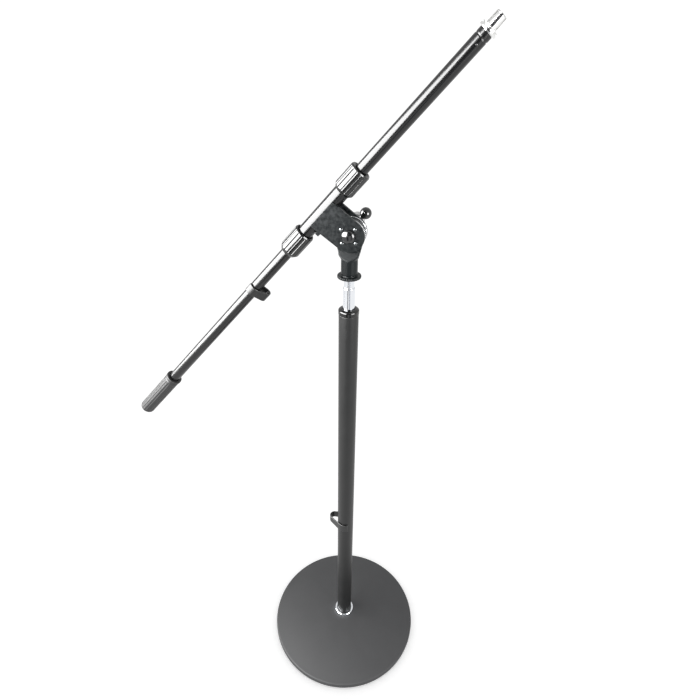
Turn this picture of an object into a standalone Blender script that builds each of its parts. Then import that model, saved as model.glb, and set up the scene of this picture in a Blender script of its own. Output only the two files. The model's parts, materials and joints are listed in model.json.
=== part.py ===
"""Boom microphone stand: round base, mast, sliding inner tube, swivel head and tilting boom.

Every size below is in millimetres and every angle in degrees. The meshes are made in metres, +Z up,
with the origin on the floor under the mast. The boom lies in the XZ plane and tilts about Y.
"""

import math

import bmesh
import bpy
from mathutils import Matrix, Vector

MM = 0.001
CLEARANCE = 0.3

# Base
BASE_RADIUS = 127.0
SOLE_RADIUS = 121.0
SOLE_THICKNESS = 2.0
BASE_RIM_TOP = 11.8
BASE_CROWN_TOP = 28.0
BASE_RIM_ROUND = 3.0
BASE_WALL = 8.0
BASE_BOSS_RADIUS = 22.0
BASE_BOSS_BOTTOM = 15.0
BASE_BORE_RADIUS = 4.6
BOLT_SHANK_RADIUS = 4.0
BOLT_HEAD_RADIUS = 7.5
BOLT_HEAD_HEIGHT = 5.3
BOLT_TOP = 52.0
WASHER_RADIUS = 12.0
WASHER_THICKNESS = 1.7
FOOT_RING_RADIUS = 16.5
FOOT_RING_HEIGHT = 4.7

# Mast and the tube that slides in it
MAST_RADIUS = 12.5
MAST_WALL = 1.5
MAST_TOP = 655.0
PLUG_HEIGHT = 30.0
CAP_RADIUS = 13.0
CAP_RIM_RADIUS = 9.9
CAP_SHOULDER_HEIGHT = 4.0
CAP_HEIGHT = 7.5
CAP_SKIRT = 25.0
INNER_RADIUS = 7.5
INNER_WALL = 1.2
INNER_BOTTOM = 384.0
NECK_START = 690.0
NECK_RADIUS = 6.5
INNER_TOP = 722.0
BUSH_HEIGHT = 24.0
LOCK_RING_RADIUS = 14.35
LOCK_RING_BOTTOM = 703.5
LOCK_RING_FLANGE = 3.0
LOCK_RING_HUB_RADIUS = 10.0
HEAD_BOTTOM = 708.3

# Swivel head and tilt joint
PIVOT_HEIGHT = 756.5
HEAD_NECK_RADIUS = 10.0
HEAD_SOCKET_DEPTH = 14.2
HEAD_FLARE_START = 726.6
HEAD_FLARE_SLOPE = 0.62
TONGUE_RADIUS = 17.4
TONGUE_HALF_THICKNESS = 4.6
TONGUE_FLAT_START = 738.0
PIVOT_HOLE_RADIUS = 4.4
DISC_RADIUS = 18.3
DISC_OUTER_FACE = 7.2

# Boom bracket. Local X runs from the boom to the pivot, local Z along the boom.
BOOM_ELEVATION = 48.76
BOOM_OFFSET = 37.5
PLATE_THICKNESS = 3.0
PLATE_OUTER_FACE = 10.5
PLATE_END_RADIUS = 18.5
PLATE_REACH = 38.4
PLATE_ABOVE = 16.0
PLATE_BELOW = 22.0
SADDLE_RADIUS = 9.4
SPACER_PIVOT_SIDE = -19.5
SPACER_BOOM_SIDE = -34.5
SPACER_ABOVE = 13.0
SPACER_BELOW = 17.5
SPACER_TAB_NEAR = -28.5
SPACER_TAB_FAR = -24.0
SPACER_TAB_END = 26.0
RIVET_CIRCLE_RADIUS = 11.1
RIVET_HOLE_RADIUS = 1.5
RIVET_SHANK_RADIUS = 1.2
RIVET_HEAD_RADIUS = 1.9
RIVET_HEAD_HEIGHT = 0.9
PIVOT_BOLT_RADIUS = 4.1
PIVOT_HEAD_RADIUS = 7.8
PIVOT_HEAD_HEIGHT = 4.6
PIVOT_BOLT_REAR = 54.0

# Clamp handle, behind the rear plate
HANDLE_WASHER_RADIUS = 9.5
HANDLE_WASHER_GAP = 1.6
HANDLE_HUB_RADIUS = 9.3
HANDLE_HUB_FRONT = 12.9
HANDLE_HUB_REAR = 45.0
HANDLE_BAR_DEPTH = 35.0
HANDLE_BAR_RADIUS = 3.0
HANDLE_BAR_ANGLE = 47.5
HANDLE_BALL_RADIUS = 7.0
HANDLE_BALL_DISTANCE = 18.5
CAP_NUT_RADIUS = 9.0
CAP_NUT_REAR = 60.5
CAP_NUT_SKIRT = 9.0
CAP_NUT_SHOULDER = 12.5

# Boom sleeve, clutches, rod and what the rod carries. Stations are measured along the boom.
SLEEVE_RADIUS = 9.1
SLEEVE_HALF_LENGTH = 50.0
ROD_RADIUS = 7.2
ROD_WALL = 1.0
ROD_BOTTOM = -417.5
ROD_TOP = 225.5
CLUTCH_RADIUS = 12.3
CLUTCH_RIM_RADIUS = 11.4
CLUTCH_FOOT_RADIUS = 9.9
CLUTCH_MOUTH_RADIUS = 10.4
CLUTCH_MOUTH_DEPTH = 2.4
CLUTCH_ROD_PLAY = 0.9
CLUTCH_RIM_HEIGHT = 1.2
UPPER_CLUTCH_FOOT = 29.0
UPPER_CLUTCH_MOUTH = 60.0
UPPER_FOOT_TAPER = 3.0
LOWER_CLUTCH_FOOT = 69.0
LOWER_CLUTCH_MOUTH = 35.5
LOWER_FOOT_TAPER = 6.0
COLLET_NEAR = 50.6
COLLET_FAR = 56.5
COLLET_SEAT = 2.5
GRIP_BOTTOM = -424.5
GRIP_TOP = -339.5
GRIP_RADIUS = 10.4
GRIP_LIP_RADIUS = 11.0
TIP_FLANGE_RADIUS = 9.5
TIP_FLANGE_TOP = 230.2
TIP_STUD_RADIUS = 6.0
TIP_STUD_TOP = 243.5
TIP_SPIGOT_LENGTH = 18.0
TIP_BORE_RADIUS = 4.3

# Cable clips: a springy strap round a tube, with a pocket for the cable on one side
MAST_CLIP_HEIGHT = 270.5
MAST_CLIP_BAND = 13.6
MAST_CLIP_POCKET = 6.6
MAST_CLIP_REACH = 20.5
MAST_CLIP_BEARING = 162.0
MAST_CLIP_FRONT = 297.0
MAST_CLIP_REAR = 60.0
MAST_CLIP_THICKNESS = 1.6
MAST_CLIP_HEIGHT_AT_TUBE = 14.0
MAST_CLIP_HEIGHT_AT_POCKET = 12.0
ROD_CLIP_STATION = -138.0
ROD_CLIP_BAND = 8.6
ROD_CLIP_POCKET = 4.8
ROD_CLIP_REACH = 14.4
ROD_CLIP_BEARING = -17.0
ROD_CLIP_FRONT = 150.0
ROD_CLIP_REAR = -125.0
ROD_CLIP_THICKNESS = 2.0
ROD_CLIP_HEIGHT_AT_TUBE = 11.5
ROD_CLIP_HEIGHT_AT_POCKET = 13.5

FINE = 48
MEDIUM = 28
COARSE = 16
FACING_FRONT = Matrix.Rotation(math.radians(90.0), 4, "X")


def clear_scene():
    """Removes whatever the opened file holds."""
    for obj in list(bpy.data.objects):
        bpy.data.objects.remove(obj, do_unlink=True)


def make_material(name, colour, roughness, metallic=0.0):
    """A plain Principled material."""
    material = bpy.data.materials.new(name)
    material.use_nodes = True
    shader = material.node_tree.nodes["Principled BSDF"]
    shader.inputs["Base Color"].default_value = (*colour, 1.0)
    shader.inputs["Roughness"].default_value = roughness
    shader.inputs["Metallic"].default_value = metallic
    return material


def make_frame(name, location, parent=None, turn=0.0):
    """An empty on a joint's axis, turned about Y."""
    frame = bpy.data.objects.new(name, None)
    frame.location = Vector(location) * MM
    frame.rotation_euler = (0.0, math.radians(turn), 0.0)
    frame.parent = parent
    bpy.context.scene.collection.objects.link(frame)
    return frame


def make_object(name, shape, material, parent, place=None):
    """Turns a bmesh into a smooth-shaded object under its frame."""
    bmesh.ops.remove_doubles(shape, verts=shape.verts, dist=1e-6)
    bmesh.ops.recalc_face_normals(shape, faces=shape.faces)
    if place is not None:
        shape.transform(place)
    mesh = bpy.data.meshes.new(name)
    shape.to_mesh(mesh)
    shape.free()
    mesh.shade_smooth()
    mesh.set_sharp_from_angle(angle=math.radians(32.0))
    mesh.materials.append(material)
    obj = bpy.data.objects.new(name, mesh)
    obj.parent = parent
    bpy.context.scene.collection.objects.link(obj)
    return obj


def turned(profile, steps):
    """Spins a profile of (radius, height) points about Z. A profile that starts and ends on the
    axis stays open there, and any other is a closed ring."""
    shape = bmesh.new()
    verts = [shape.verts.new((radius * MM, 0.0, height * MM)) for radius, height in profile]
    edges = [shape.edges.new(pair) for pair in zip(verts, verts[1:])]
    if profile[0][0] > 0.0:
        edges.append(shape.edges.new((verts[-1], verts[0])))
    bmesh.ops.spin(
        shape, geom=verts + edges, cent=(0.0, 0.0, 0.0), axis=(0.0, 0.0, 1.0),
        angle=math.tau, steps=steps, use_merge=True,
    )
    return shape


def extruded(outlines, low, high):
    """Raises an outline, with any holes after it, from one height to another."""
    shape = bmesh.new()
    for height in (low, high):
        edges = []
        for outline in outlines:
            ring = [shape.verts.new((x * MM, y * MM, height * MM)) for x, y in outline]
            edges += [shape.edges.new((a, b)) for a, b in zip(ring, ring[1:] + ring[:1])]
        bmesh.ops.triangle_fill(shape, use_beauty=True, edges=edges)
    shape.verts.ensure_lookup_table()
    half = len(shape.verts) // 2
    start = 0
    for outline in outlines:
        count = len(outline)
        for i in range(count):
            a, b = start + i, start + (i + 1) % count
            corners = (a, b, b + half, a + half)
            shape.faces.new([shape.verts[corner] for corner in corners])
        start += count
    return shape


def arc(centre, radius, start, end, steps):
    """Points on an arc in the plane, from one angle to another."""
    points = []
    for i in range(steps + 1):
        angle = math.radians(start + (end - start) * i / steps)
        points.append((centre[0] + radius * math.cos(angle), centre[1] + radius * math.sin(angle)))
    return points


def circle(centre, radius, steps):
    """Points on a whole circle, the first not repeated."""
    return arc(centre, radius, 0.0, 360.0, steps)[:-1]


def tube_profile(inner, outer, low, high):
    """The cross-section of a plain tube, ring or washer."""
    return [(inner, low), (outer, low), (outer, high), (inner, high)]


def cylinder(radius, low, high, steps):
    """A plain solid round bar."""
    return turned([(0.0, low), (radius, low), (radius, high), (0.0, high)], steps)


def add_boolean(obj, cutter, operation):
    """Cuts or trims a piece with a helper that is left out of the model."""
    cutter.hide_render = True
    cutter.display_type = "WIRE"
    modifier = obj.modifiers.new(operation.title(), "BOOLEAN")
    modifier.operation = operation
    modifier.object = cutter


def teardrop_path(band_radius, pocket_radius, pocket_distance, pocket_angle, front_end, rear_end):
    """The middle line of a cable clip: round the tube's front, out round the pocket, and back
    round its rear. Each point carries how far it is into the pocket, from 0 to 1."""
    centre = (
        pocket_distance * math.cos(math.radians(pocket_angle)),
        pocket_distance * math.sin(math.radians(pocket_angle)),
    )
    spread = math.degrees(math.acos((band_radius - pocket_radius) / pocket_distance))
    front_tangent = pocket_angle + spread
    rear_tangent = pocket_angle - spread
    path = [(x, y, 0.0) for x, y in arc((0.0, 0.0), band_radius, front_end, front_tangent, 8)]
    path += [(x, y, 1.0) for x, y in arc(centre, pocket_radius, front_tangent, rear_tangent, 8)]
    path += [(x, y, 0.0) for x, y in arc((0.0, 0.0), band_radius, rear_tangent, rear_end, 8)]
    return path


def strap(path, thickness, height_at_tube, height_at_pocket):
    """A flat strap that stands on edge along a path, lower where it goes round the pocket."""
    shape = bmesh.new()
    rings = []
    for i, (x, y, depth) in enumerate(path):
        before = path[max(i - 1, 0)]
        after = path[min(i + 1, len(path) - 1)]
        along = Vector((after[0] - before[0], after[1] - before[1])).normalized()
        side = Vector((-along.y, along.x)) * thickness / 2.0
        half = (height_at_tube + (height_at_pocket - height_at_tube) * depth) / 2.0
        corners = ((side, -half), (side, half), (-side, half), (-side, -half))
        rings.append([
            shape.verts.new(Vector((x + offset.x, y + offset.y, z)) * MM) for offset, z in corners
        ])
    for low, high in zip(rings, rings[1:]):
        for i in range(4):
            shape.faces.new((low[i], low[i - 1], high[i - 1], high[i]))
    shape.faces.new(rings[0])
    shape.faces.new(rings[-1])
    return shape


def crown_height(radius):
    """The base's top surface, highest at the mast and falling to its rim."""
    reach = BASE_RADIUS - BASE_RIM_ROUND
    return BASE_RIM_TOP + (BASE_CROWN_TOP - BASE_RIM_TOP) * (1.0 - (radius / reach) ** 2)


def build_base(frame, materials):
    """The rubber sole, the cast base and the bolt that holds the mast to it."""
    sole = turned([(0.0, 0.0), (SOLE_RADIUS, 0.0), (SOLE_RADIUS, SOLE_THICKNESS),
                   (0.0, SOLE_THICKNESS)], FINE)
    make_object("rubber_sole", sole, materials["rubber"], frame)

    bottom = SOLE_THICKNESS + CLEARANCE
    flat_radius = FOOT_RING_RADIUS + 1.5
    reach = BASE_RADIUS - BASE_RIM_ROUND
    radii = [flat_radius + (reach - flat_radius) * i / 7 for i in range(8)]
    crown = [(radius, crown_height(radius)) for radius in reversed(radii)]
    rim = arc((reach, BASE_RIM_TOP - BASE_RIM_ROUND), BASE_RIM_ROUND, 0.0, 90.0, 4)[:-1]
    underside = [
        (radius, crown_height(radius) - BASE_WALL) for radius in (BASE_BOSS_RADIUS + 2.0, 60.0, 112.0)
    ]
    profile = (
        [(BASE_BORE_RADIUS, BASE_BOSS_BOTTOM), (BASE_BOSS_RADIUS, BASE_BOSS_BOTTOM)]
        + underside
        + [(116.0, bottom), (BASE_RADIUS - 2.0, bottom), (BASE_RADIUS, bottom + 2.0)]
        + rim
        + crown
        + [(BASE_BORE_RADIUS, crown[-1][1])]
    )
    make_object("base_plate", turned(profile, FINE), materials["base"], frame)

    seat = crown[-1][1] + CLEARANCE
    ring_inner = MAST_RADIUS + CLEARANCE
    ring_top = seat + FOOT_RING_HEIGHT
    ring = [
        (ring_inner, seat), (FOOT_RING_RADIUS, seat), (FOOT_RING_RADIUS, ring_top - 1.5),
        (FOOT_RING_RADIUS - 1.5, ring_top), (ring_inner, ring_top),
    ]
    make_object("foot_ring", turned(ring, MEDIUM), materials["chrome"], frame)

    washer_top = BASE_BOSS_BOTTOM - CLEARANCE
    washer_bottom = washer_top - WASHER_THICKNESS
    washer = tube_profile(BASE_BORE_RADIUS, WASHER_RADIUS, washer_bottom, washer_top)
    make_object("base_washer", turned(washer, COARSE), materials["steel"], frame)
    head_top = washer_bottom - CLEARANCE
    bolt = extruded([circle((0.0, 0.0), BOLT_HEAD_RADIUS, 6)], head_top - BOLT_HEAD_HEIGHT, head_top)
    bolt_head = make_object("base_bolt", bolt, materials["steel"], frame)
    shank = cylinder(BOLT_SHANK_RADIUS, head_top - 1.0, BOLT_TOP, COARSE)
    shank_helper = make_object("base_bolt_shank", shank, materials["steel"], frame)
    add_boolean(bolt_head, shank_helper, "UNION")
    return seat


def build_mast(frame, seat, materials):
    """The fixed tube, its foot plug, its cap and the cap's skirt inside it."""
    inner = MAST_RADIUS - MAST_WALL
    tube = tube_profile(inner, MAST_RADIUS, seat, MAST_TOP)
    make_object("mast_tube", turned(tube, MEDIUM), materials["mast"], frame)
    plug = tube_profile(BOLT_SHANK_RADIUS + CLEARANCE, inner - CLEARANCE, seat, seat + PLUG_HEIGHT)
    make_object("mast_foot_plug", turned(plug, MEDIUM), materials["steel"], frame)

    bore = INNER_RADIUS + CLEARANCE
    skirt = inner - CLEARANCE
    seat_top = MAST_TOP + CLEARANCE
    shoulder = seat_top + CAP_SHOULDER_HEIGHT
    rounding = arc((CAP_RIM_RADIUS, shoulder), 1.0, 0.0, 90.0, 4)
    dome = [
        (CAP_RIM_RADIUS + (x - CAP_RIM_RADIUS) * (CAP_RADIUS - CAP_RIM_RADIUS),
         shoulder + (z - shoulder) * (CAP_HEIGHT - CAP_SHOULDER_HEIGHT))
        for x, z in rounding
    ]
    profile = [
        (bore, MAST_TOP - CAP_SKIRT), (skirt, MAST_TOP - CAP_SKIRT), (skirt, seat_top),
        (CAP_RADIUS, seat_top),
    ] + dome + [(bore + 0.6, seat_top + CAP_HEIGHT), (bore, seat_top + CAP_HEIGHT - 0.6)]
    make_object("mast_cap", turned(profile, MEDIUM), materials["cap"], frame)


def build_mast_clip(frame, materials):
    """The cable clip on the mast, its pocket to the left and a little to the rear."""
    path = teardrop_path(
        MAST_CLIP_BAND, MAST_CLIP_POCKET, MAST_CLIP_REACH, MAST_CLIP_BEARING, MAST_CLIP_FRONT, MAST_CLIP_REAR
    )
    shape = strap(path, MAST_CLIP_THICKNESS, MAST_CLIP_HEIGHT_AT_TUBE, MAST_CLIP_HEIGHT_AT_POCKET)
    make_object("mast_cable_clip", shape, materials["clip"], frame)


def build_inner_tube(frame, materials):
    """The chromed tube that slides in the mast, with its guide bush and the plug in its foot."""
    start = INNER_BOTTOM - PIVOT_HEIGHT
    inner = INNER_RADIUS - INNER_WALL
    bore_top = inner - 1.3
    profile = [
        (inner, start), (INNER_RADIUS, start), (INNER_RADIUS, NECK_START - PIVOT_HEIGHT),
        (NECK_RADIUS, NECK_START + 1.0 - PIVOT_HEIGHT), (NECK_RADIUS, INNER_TOP - PIVOT_HEIGHT),
        (bore_top, INNER_TOP - PIVOT_HEIGHT), (bore_top, NECK_START - 6.0 - PIVOT_HEIGHT),
        (inner, NECK_START - 8.0 - PIVOT_HEIGHT),
    ]
    make_object("inner_tube", turned(profile, MEDIUM), materials["chrome"], frame)

    bush_outer = MAST_RADIUS - MAST_WALL - CLEARANCE
    bush = tube_profile(INNER_RADIUS + CLEARANCE, bush_outer, start + 1.0, start + BUSH_HEIGHT)
    make_object("guide_bush", turned(bush, MEDIUM), materials["nylon"], frame)
    plug = [
        (0.0, start - 9.0), (8.5, start - 9.0), (bush_outer - 0.5, start - 5.0),
        (bush_outer - 0.5, start - CLEARANCE), (inner - CLEARANCE, start - CLEARANCE),
        (inner - CLEARANCE, start + 14.0), (0.0, start + 14.0),
    ]
    make_object("bush_retainer", turned(plug, MEDIUM), materials["nylon"], frame)


def build_lock_ring(frame, materials):
    """The thin ring nut that locks the head on the inner tube's thread."""
    low = LOCK_RING_BOTTOM - PIVOT_HEIGHT
    top = HEAD_BOTTOM - CLEARANCE - PIVOT_HEIGHT
    flange = low + LOCK_RING_FLANGE
    bore = NECK_RADIUS + CLEARANCE
    profile = [
        (bore, low), (LOCK_RING_RADIUS - 0.8, low), (LOCK_RING_RADIUS, low + 0.8),
        (LOCK_RING_RADIUS, flange - 0.8), (LOCK_RING_RADIUS - 0.8, flange),
        (LOCK_RING_HUB_RADIUS, flange), (LOCK_RING_HUB_RADIUS, top), (bore, top),
    ]
    make_object("lock_ring", turned(profile, MEDIUM), materials["bracket"], frame)


def build_head(frame, materials):
    """The swivel head: a socket for the tube that flares up into a flat tongue."""
    low = HEAD_BOTTOM - PIVOT_HEIGHT
    flare = HEAD_FLARE_START - PIVOT_HEIGHT
    bore = NECK_RADIUS + CLEARANCE
    socket_top = low + HEAD_SOCKET_DEPTH
    crest = TONGUE_RADIUS + 3.0
    profile = [
        (0.0, socket_top), (bore, socket_top), (bore, low), (HEAD_NECK_RADIUS, low),
        (HEAD_NECK_RADIUS, flare), (HEAD_NECK_RADIUS + (crest - flare) * HEAD_FLARE_SLOPE, crest),
        (0.0, crest),
    ]
    head = make_object("swivel_head", turned(profile, MEDIUM), materials["bracket"], frame)

    # Front view: the tongue's round top, with straight sides drawn in to the neck.
    width = HEAD_NECK_RADIUS + 0.3
    depth_below = flare - 0.4
    distance = math.hypot(width, depth_below)
    lean = math.degrees(math.atan2(depth_below, width))
    open_angle = math.degrees(math.acos(TONGUE_RADIUS / distance))
    start = lean + open_angle
    front = arc((0.0, 0.0), TONGUE_RADIUS, start, 180.0 - start, 28)
    front += [(-width, depth_below), (-width, low - 1.0), (width, low - 1.0), (width, depth_below)]
    front_shape = extruded([front], -30.0, 30.0)
    front_trim = make_object("head_front_trim", front_shape, materials["bracket"], frame, FACING_FRONT)
    add_boolean(head, front_trim, "INTERSECT")

    # Side view: the neck's full depth, sloping in to the tongue's two flat faces.
    flat = TONGUE_FLAT_START - PIVOT_HEIGHT
    half = TONGUE_HALF_THICKNESS
    side = [
        (width, low - 1.0), (width, flare - 0.8), (half, flat), (half, 25.0),
        (-half, 25.0), (-half, flat), (-width, flare - 0.8), (-width, low - 1.0),
    ]
    facing_side = Matrix.Rotation(math.radians(90.0), 4, "Z") @ FACING_FRONT
    side_trim = make_object("head_side_trim", extruded([side], -30.0, 30.0), materials["bracket"],
                            frame, facing_side)
    add_boolean(head, side_trim, "INTERSECT")
    hole = make_object("head_pivot_hole", cylinder(PIVOT_HOLE_RADIUS, -30.0, 30.0, COARSE),
                       materials["bracket"], frame, FACING_FRONT)
    add_boolean(head, hole, "DIFFERENCE")


def rivet_places():
    """The four rivet positions round the pivot."""
    reach = RIVET_CIRCLE_RADIUS
    return [(-reach, 0.0), (0.0, reach), (0.0, -reach), (reach, 0.0)]


def rivet_profile(shank_end):
    """A rivet: a thin shank with a low domed head outside the plate."""
    head_base = PLATE_OUTER_FACE + CLEARANCE
    shoulder = head_base + RIVET_HEAD_HEIGHT * 0.75
    return [
        (0.0, shank_end), (RIVET_SHANK_RADIUS, shank_end), (RIVET_SHANK_RADIUS, head_base),
        (RIVET_HEAD_RADIUS, head_base), (RIVET_HEAD_RADIUS * 0.72, shoulder),
        (0.0, head_base + RIVET_HEAD_HEIGHT),
    ]


def bracket_holes():
    """The pivot hole and the four rivet holes that the plates and discs share."""
    holes = [circle((0.0, 0.0), PIVOT_HOLE_RADIUS, COARSE)]
    return holes + [circle(place, RIVET_HOLE_RADIUS, 10) for place in rivet_places()]


def tangent_angle(corner, side):
    """The angle at which a straight edge from a corner meets the plate's round end, in degrees."""
    bearing = math.degrees(math.atan2(corner[1], corner[0]))
    opening = math.degrees(math.acos(PLATE_END_RADIUS / math.hypot(*corner)))
    return bearing - side * opening


def plate_outline():
    """A plate's outline: round at the pivot, with straight edges out to the boom."""
    above = (-PLATE_REACH, PLATE_ABOVE)
    below = (-PLATE_REACH, -PLATE_BELOW)
    end = arc((0.0, 0.0), PLATE_END_RADIUS, tangent_angle(below, -1.0), tangent_angle(above, 1.0), 24)
    return end + [above, below]


def make_piece_facing(name, shape, material, parent, place):
    """Places a shape that may be mirrored to the rear, with its faces set outwards afterwards."""
    shape.transform(place)
    return make_object(name, shape, material, parent)


def build_bracket(frame, materials):
    """The two plates, the block between them, the friction discs and their rivets."""
    saddle_shape = cylinder(SADDLE_RADIUS, -60.0, 60.0, MEDIUM)
    to_boom = Matrix.Translation((-BOOM_OFFSET * MM, 0.0, 0.0))
    saddle = make_object("boom_saddle", saddle_shape, materials["bracket"], frame, to_boom)
    inner_face = PLATE_OUTER_FACE - PLATE_THICKNESS
    disc_inner = TONGUE_HALF_THICKNESS + CLEARANCE
    for side, facing in (("front", 1.0), ("rear", -1.0)):
        turn = FACING_FRONT if facing > 0.0 else FACING_FRONT @ Matrix.Scale(-1.0, 4, (0, 0, 1))
        plate = extruded([plate_outline()] + bracket_holes(), inner_face, PLATE_OUTER_FACE)
        plate = make_piece_facing(f"bracket_plate_{side}", plate, materials["bracket"], frame, turn)
        add_boolean(plate, saddle, "DIFFERENCE")
        disc = extruded([circle((0.0, 0.0), DISC_RADIUS, MEDIUM)] + bracket_holes(),
                        disc_inner, DISC_OUTER_FACE)
        make_piece_facing(f"friction_disc_{side}", disc, materials["disc"], frame, turn)
        for number, place in enumerate(rivet_places(), start=1):
            rivet = turned(rivet_profile(disc_inner + CLEARANCE), 10)
            moved = turn @ Matrix.Translation((place[0] * MM, place[1] * MM, 0.0))
            make_piece_facing(f"rivet_{side}_{number}", rivet, materials["rivet"], frame, moved)

    half = inner_face - CLEARANCE
    block = [
        (SPACER_BOOM_SIDE, -SPACER_BELOW), (SPACER_TAB_NEAR, -SPACER_BELOW),
        (SPACER_TAB_NEAR, -SPACER_TAB_END), (SPACER_TAB_FAR, -SPACER_TAB_END),
        (SPACER_TAB_FAR, -SPACER_BELOW), (SPACER_PIVOT_SIDE, -SPACER_BELOW),
        (SPACER_PIVOT_SIDE, SPACER_ABOVE), (SPACER_BOOM_SIDE, SPACER_ABOVE),
    ]
    spacer = make_object("bracket_spacer", extruded([block], -half, half), materials["bracket"],
                         frame, FACING_FRONT)
    add_boolean(spacer, saddle, "DIFFERENCE")


def build_pivot_bolt(frame, materials):
    """The domed bolt through the tilt joint and the cap nut on its rear end."""
    head_base = PLATE_OUTER_FACE + CLEARANCE
    head_top = head_base + PIVOT_HEAD_HEIGHT
    dome = [
        (PIVOT_HEAD_RADIUS * math.cos(math.radians(angle)),
         head_base + 1.0 + (PIVOT_HEAD_HEIGHT - 1.0) * math.sin(math.radians(angle)))
        for angle in (0.0, 20.0, 40.0, 60.0, 78.0)
    ]
    profile = [
        (0.0, -PIVOT_BOLT_REAR), (PIVOT_BOLT_RADIUS, -PIVOT_BOLT_REAR),
        (PIVOT_BOLT_RADIUS, head_base), (PIVOT_HEAD_RADIUS, head_base),
    ] + dome + [(0.0, head_top)]
    make_object("pivot_bolt", turned(profile, COARSE), materials["bracket"], frame, FACING_FRONT)


def build_handle(frame, materials):
    """The clamp handle: a hub on the pivot bolt with a bar across it and a ball at each end."""
    washer_front = PLATE_OUTER_FACE + HANDLE_WASHER_GAP
    washer_rear = HANDLE_HUB_FRONT - CLEARANCE
    washer = tube_profile(PIVOT_HOLE_RADIUS, HANDLE_WASHER_RADIUS, washer_front, washer_rear)
    flip = FACING_FRONT @ Matrix.Rotation(math.pi, 4, "X")
    make_object("handle_washer", turned(washer, COARSE), materials["steel"], frame, flip)

    bore = PIVOT_HOLE_RADIUS
    hub = [
        (bore, HANDLE_HUB_FRONT), (HANDLE_HUB_RADIUS, HANDLE_HUB_FRONT),
        (HANDLE_HUB_RADIUS, HANDLE_HUB_REAR - 2.0), (HANDLE_HUB_RADIUS - 2.0, HANDLE_HUB_REAR),
        (bore, HANDLE_HUB_REAR),
    ]
    hub_object = make_object("handle_hub", turned(hub, MEDIUM), materials["handle"], frame, flip)

    nut_front = HANDLE_HUB_REAR + CLEARANCE
    nut_bore_end = PIVOT_BOLT_REAR + CLEARANCE
    nut = [
        (0.0, nut_bore_end), (bore, nut_bore_end), (bore, nut_front), (CAP_NUT_RADIUS, nut_front),
        (CAP_NUT_RADIUS, nut_front + CAP_NUT_SKIRT), (CAP_NUT_RADIUS * 0.86, nut_front + CAP_NUT_SHOULDER),
        (CAP_NUT_RADIUS * 0.5, CAP_NUT_REAR - 0.8), (0.0, CAP_NUT_REAR),
    ]
    make_object("cap_nut", turned(nut, COARSE), materials["steel"], frame, flip)

    to_bar = Matrix.Translation((0.0, HANDLE_BAR_DEPTH * MM, 0.0))
    for side, angle in (("upper", 0.0), ("lower", 180.0)):
        lean = Matrix.Rotation(math.radians(90.0 - HANDLE_BAR_ANGLE + angle), 4, "Y")
        socket_start = PIVOT_HOLE_RADIUS + 1.2
        socket = cylinder(HANDLE_BAR_RADIUS + CLEARANCE, socket_start, HANDLE_HUB_RADIUS + 4.0, COARSE)
        socket_cutter = make_object(f"bar_socket_{side}", socket, materials["handle"], frame, to_bar @ lean)
        add_boolean(hub_object, socket_cutter, "DIFFERENCE")
        bar_end = HANDLE_BALL_DISTANCE + 3.0
        bar = cylinder(HANDLE_BAR_RADIUS, socket_start + CLEARANCE, bar_end, COARSE)
        make_object(f"handle_bar_{side}", bar, materials["steel_dark"], frame, to_bar @ lean)
        bore_radius = HANDLE_BAR_RADIUS + CLEARANCE
        open_angle = math.degrees(math.acos(bore_radius / HANDLE_BALL_RADIUS))
        shell = [
            (HANDLE_BALL_RADIUS * math.cos(math.radians(angle_up)),
             HANDLE_BALL_DISTANCE + HANDLE_BALL_RADIUS * math.sin(math.radians(angle_up)))
            for angle_up in [-open_angle + (open_angle + 90.0) * i / 10 for i in range(10)]
        ]
        ball_top = HANDLE_BALL_DISTANCE + HANDLE_BALL_RADIUS
        bore_top = bar_end + CLEARANCE
        ball = [(0.0, bore_top), (bore_radius, bore_top)] + shell + [(0.0, ball_top)]
        make_object(f"handle_ball_{side}", turned(ball, 20), materials["ball"], frame, to_bar @ lean)


def build_sleeve(frame, materials):
    """The short outer tube held in the bracket, with a gripping collet beyond each end."""
    bore = ROD_RADIUS + CLEARANCE
    sleeve = tube_profile(bore, SLEEVE_RADIUS, -SLEEVE_HALF_LENGTH, SLEEVE_HALF_LENGTH)
    make_object("boom_sleeve", turned(sleeve, MEDIUM), materials["boom"], frame)
    for side, facing in (("upper", 1.0), ("lower", -1.0)):
        turn = Matrix.Rotation(0.0 if facing > 0.0 else math.pi, 4, "X")
        collet = [
            (bore, COLLET_NEAR), (SLEEVE_RADIUS, COLLET_NEAR), (SLEEVE_RADIUS, COLLET_FAR - 3.0),
            (bore + 0.5, COLLET_FAR), (bore, COLLET_FAR),
        ]
        make_object(f"{side}_collet", turned(collet, MEDIUM), materials["nylon"], frame, turn)


def upper_clutch_profile():
    """The upper knob: a short taper at its foot on the sleeve, and an open mouth round the rod."""
    foot, mouth = UPPER_CLUTCH_FOOT, UPPER_CLUTCH_MOUTH
    bore, rod_bore = SLEEVE_RADIUS + CLEARANCE, ROD_RADIUS + CLUTCH_ROD_PLAY
    return [
        (bore, foot), (CLUTCH_FOOT_RADIUS, foot), (CLUTCH_RADIUS, foot + UPPER_FOOT_TAPER),
        (CLUTCH_RADIUS, mouth - CLUTCH_RIM_HEIGHT), (CLUTCH_RIM_RADIUS, mouth),
        (CLUTCH_MOUTH_RADIUS, mouth), (rod_bore, mouth - CLUTCH_MOUTH_DEPTH),
        (rod_bore, COLLET_FAR + CLEARANCE), (bore, COLLET_FAR - COLLET_SEAT),
    ]


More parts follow.
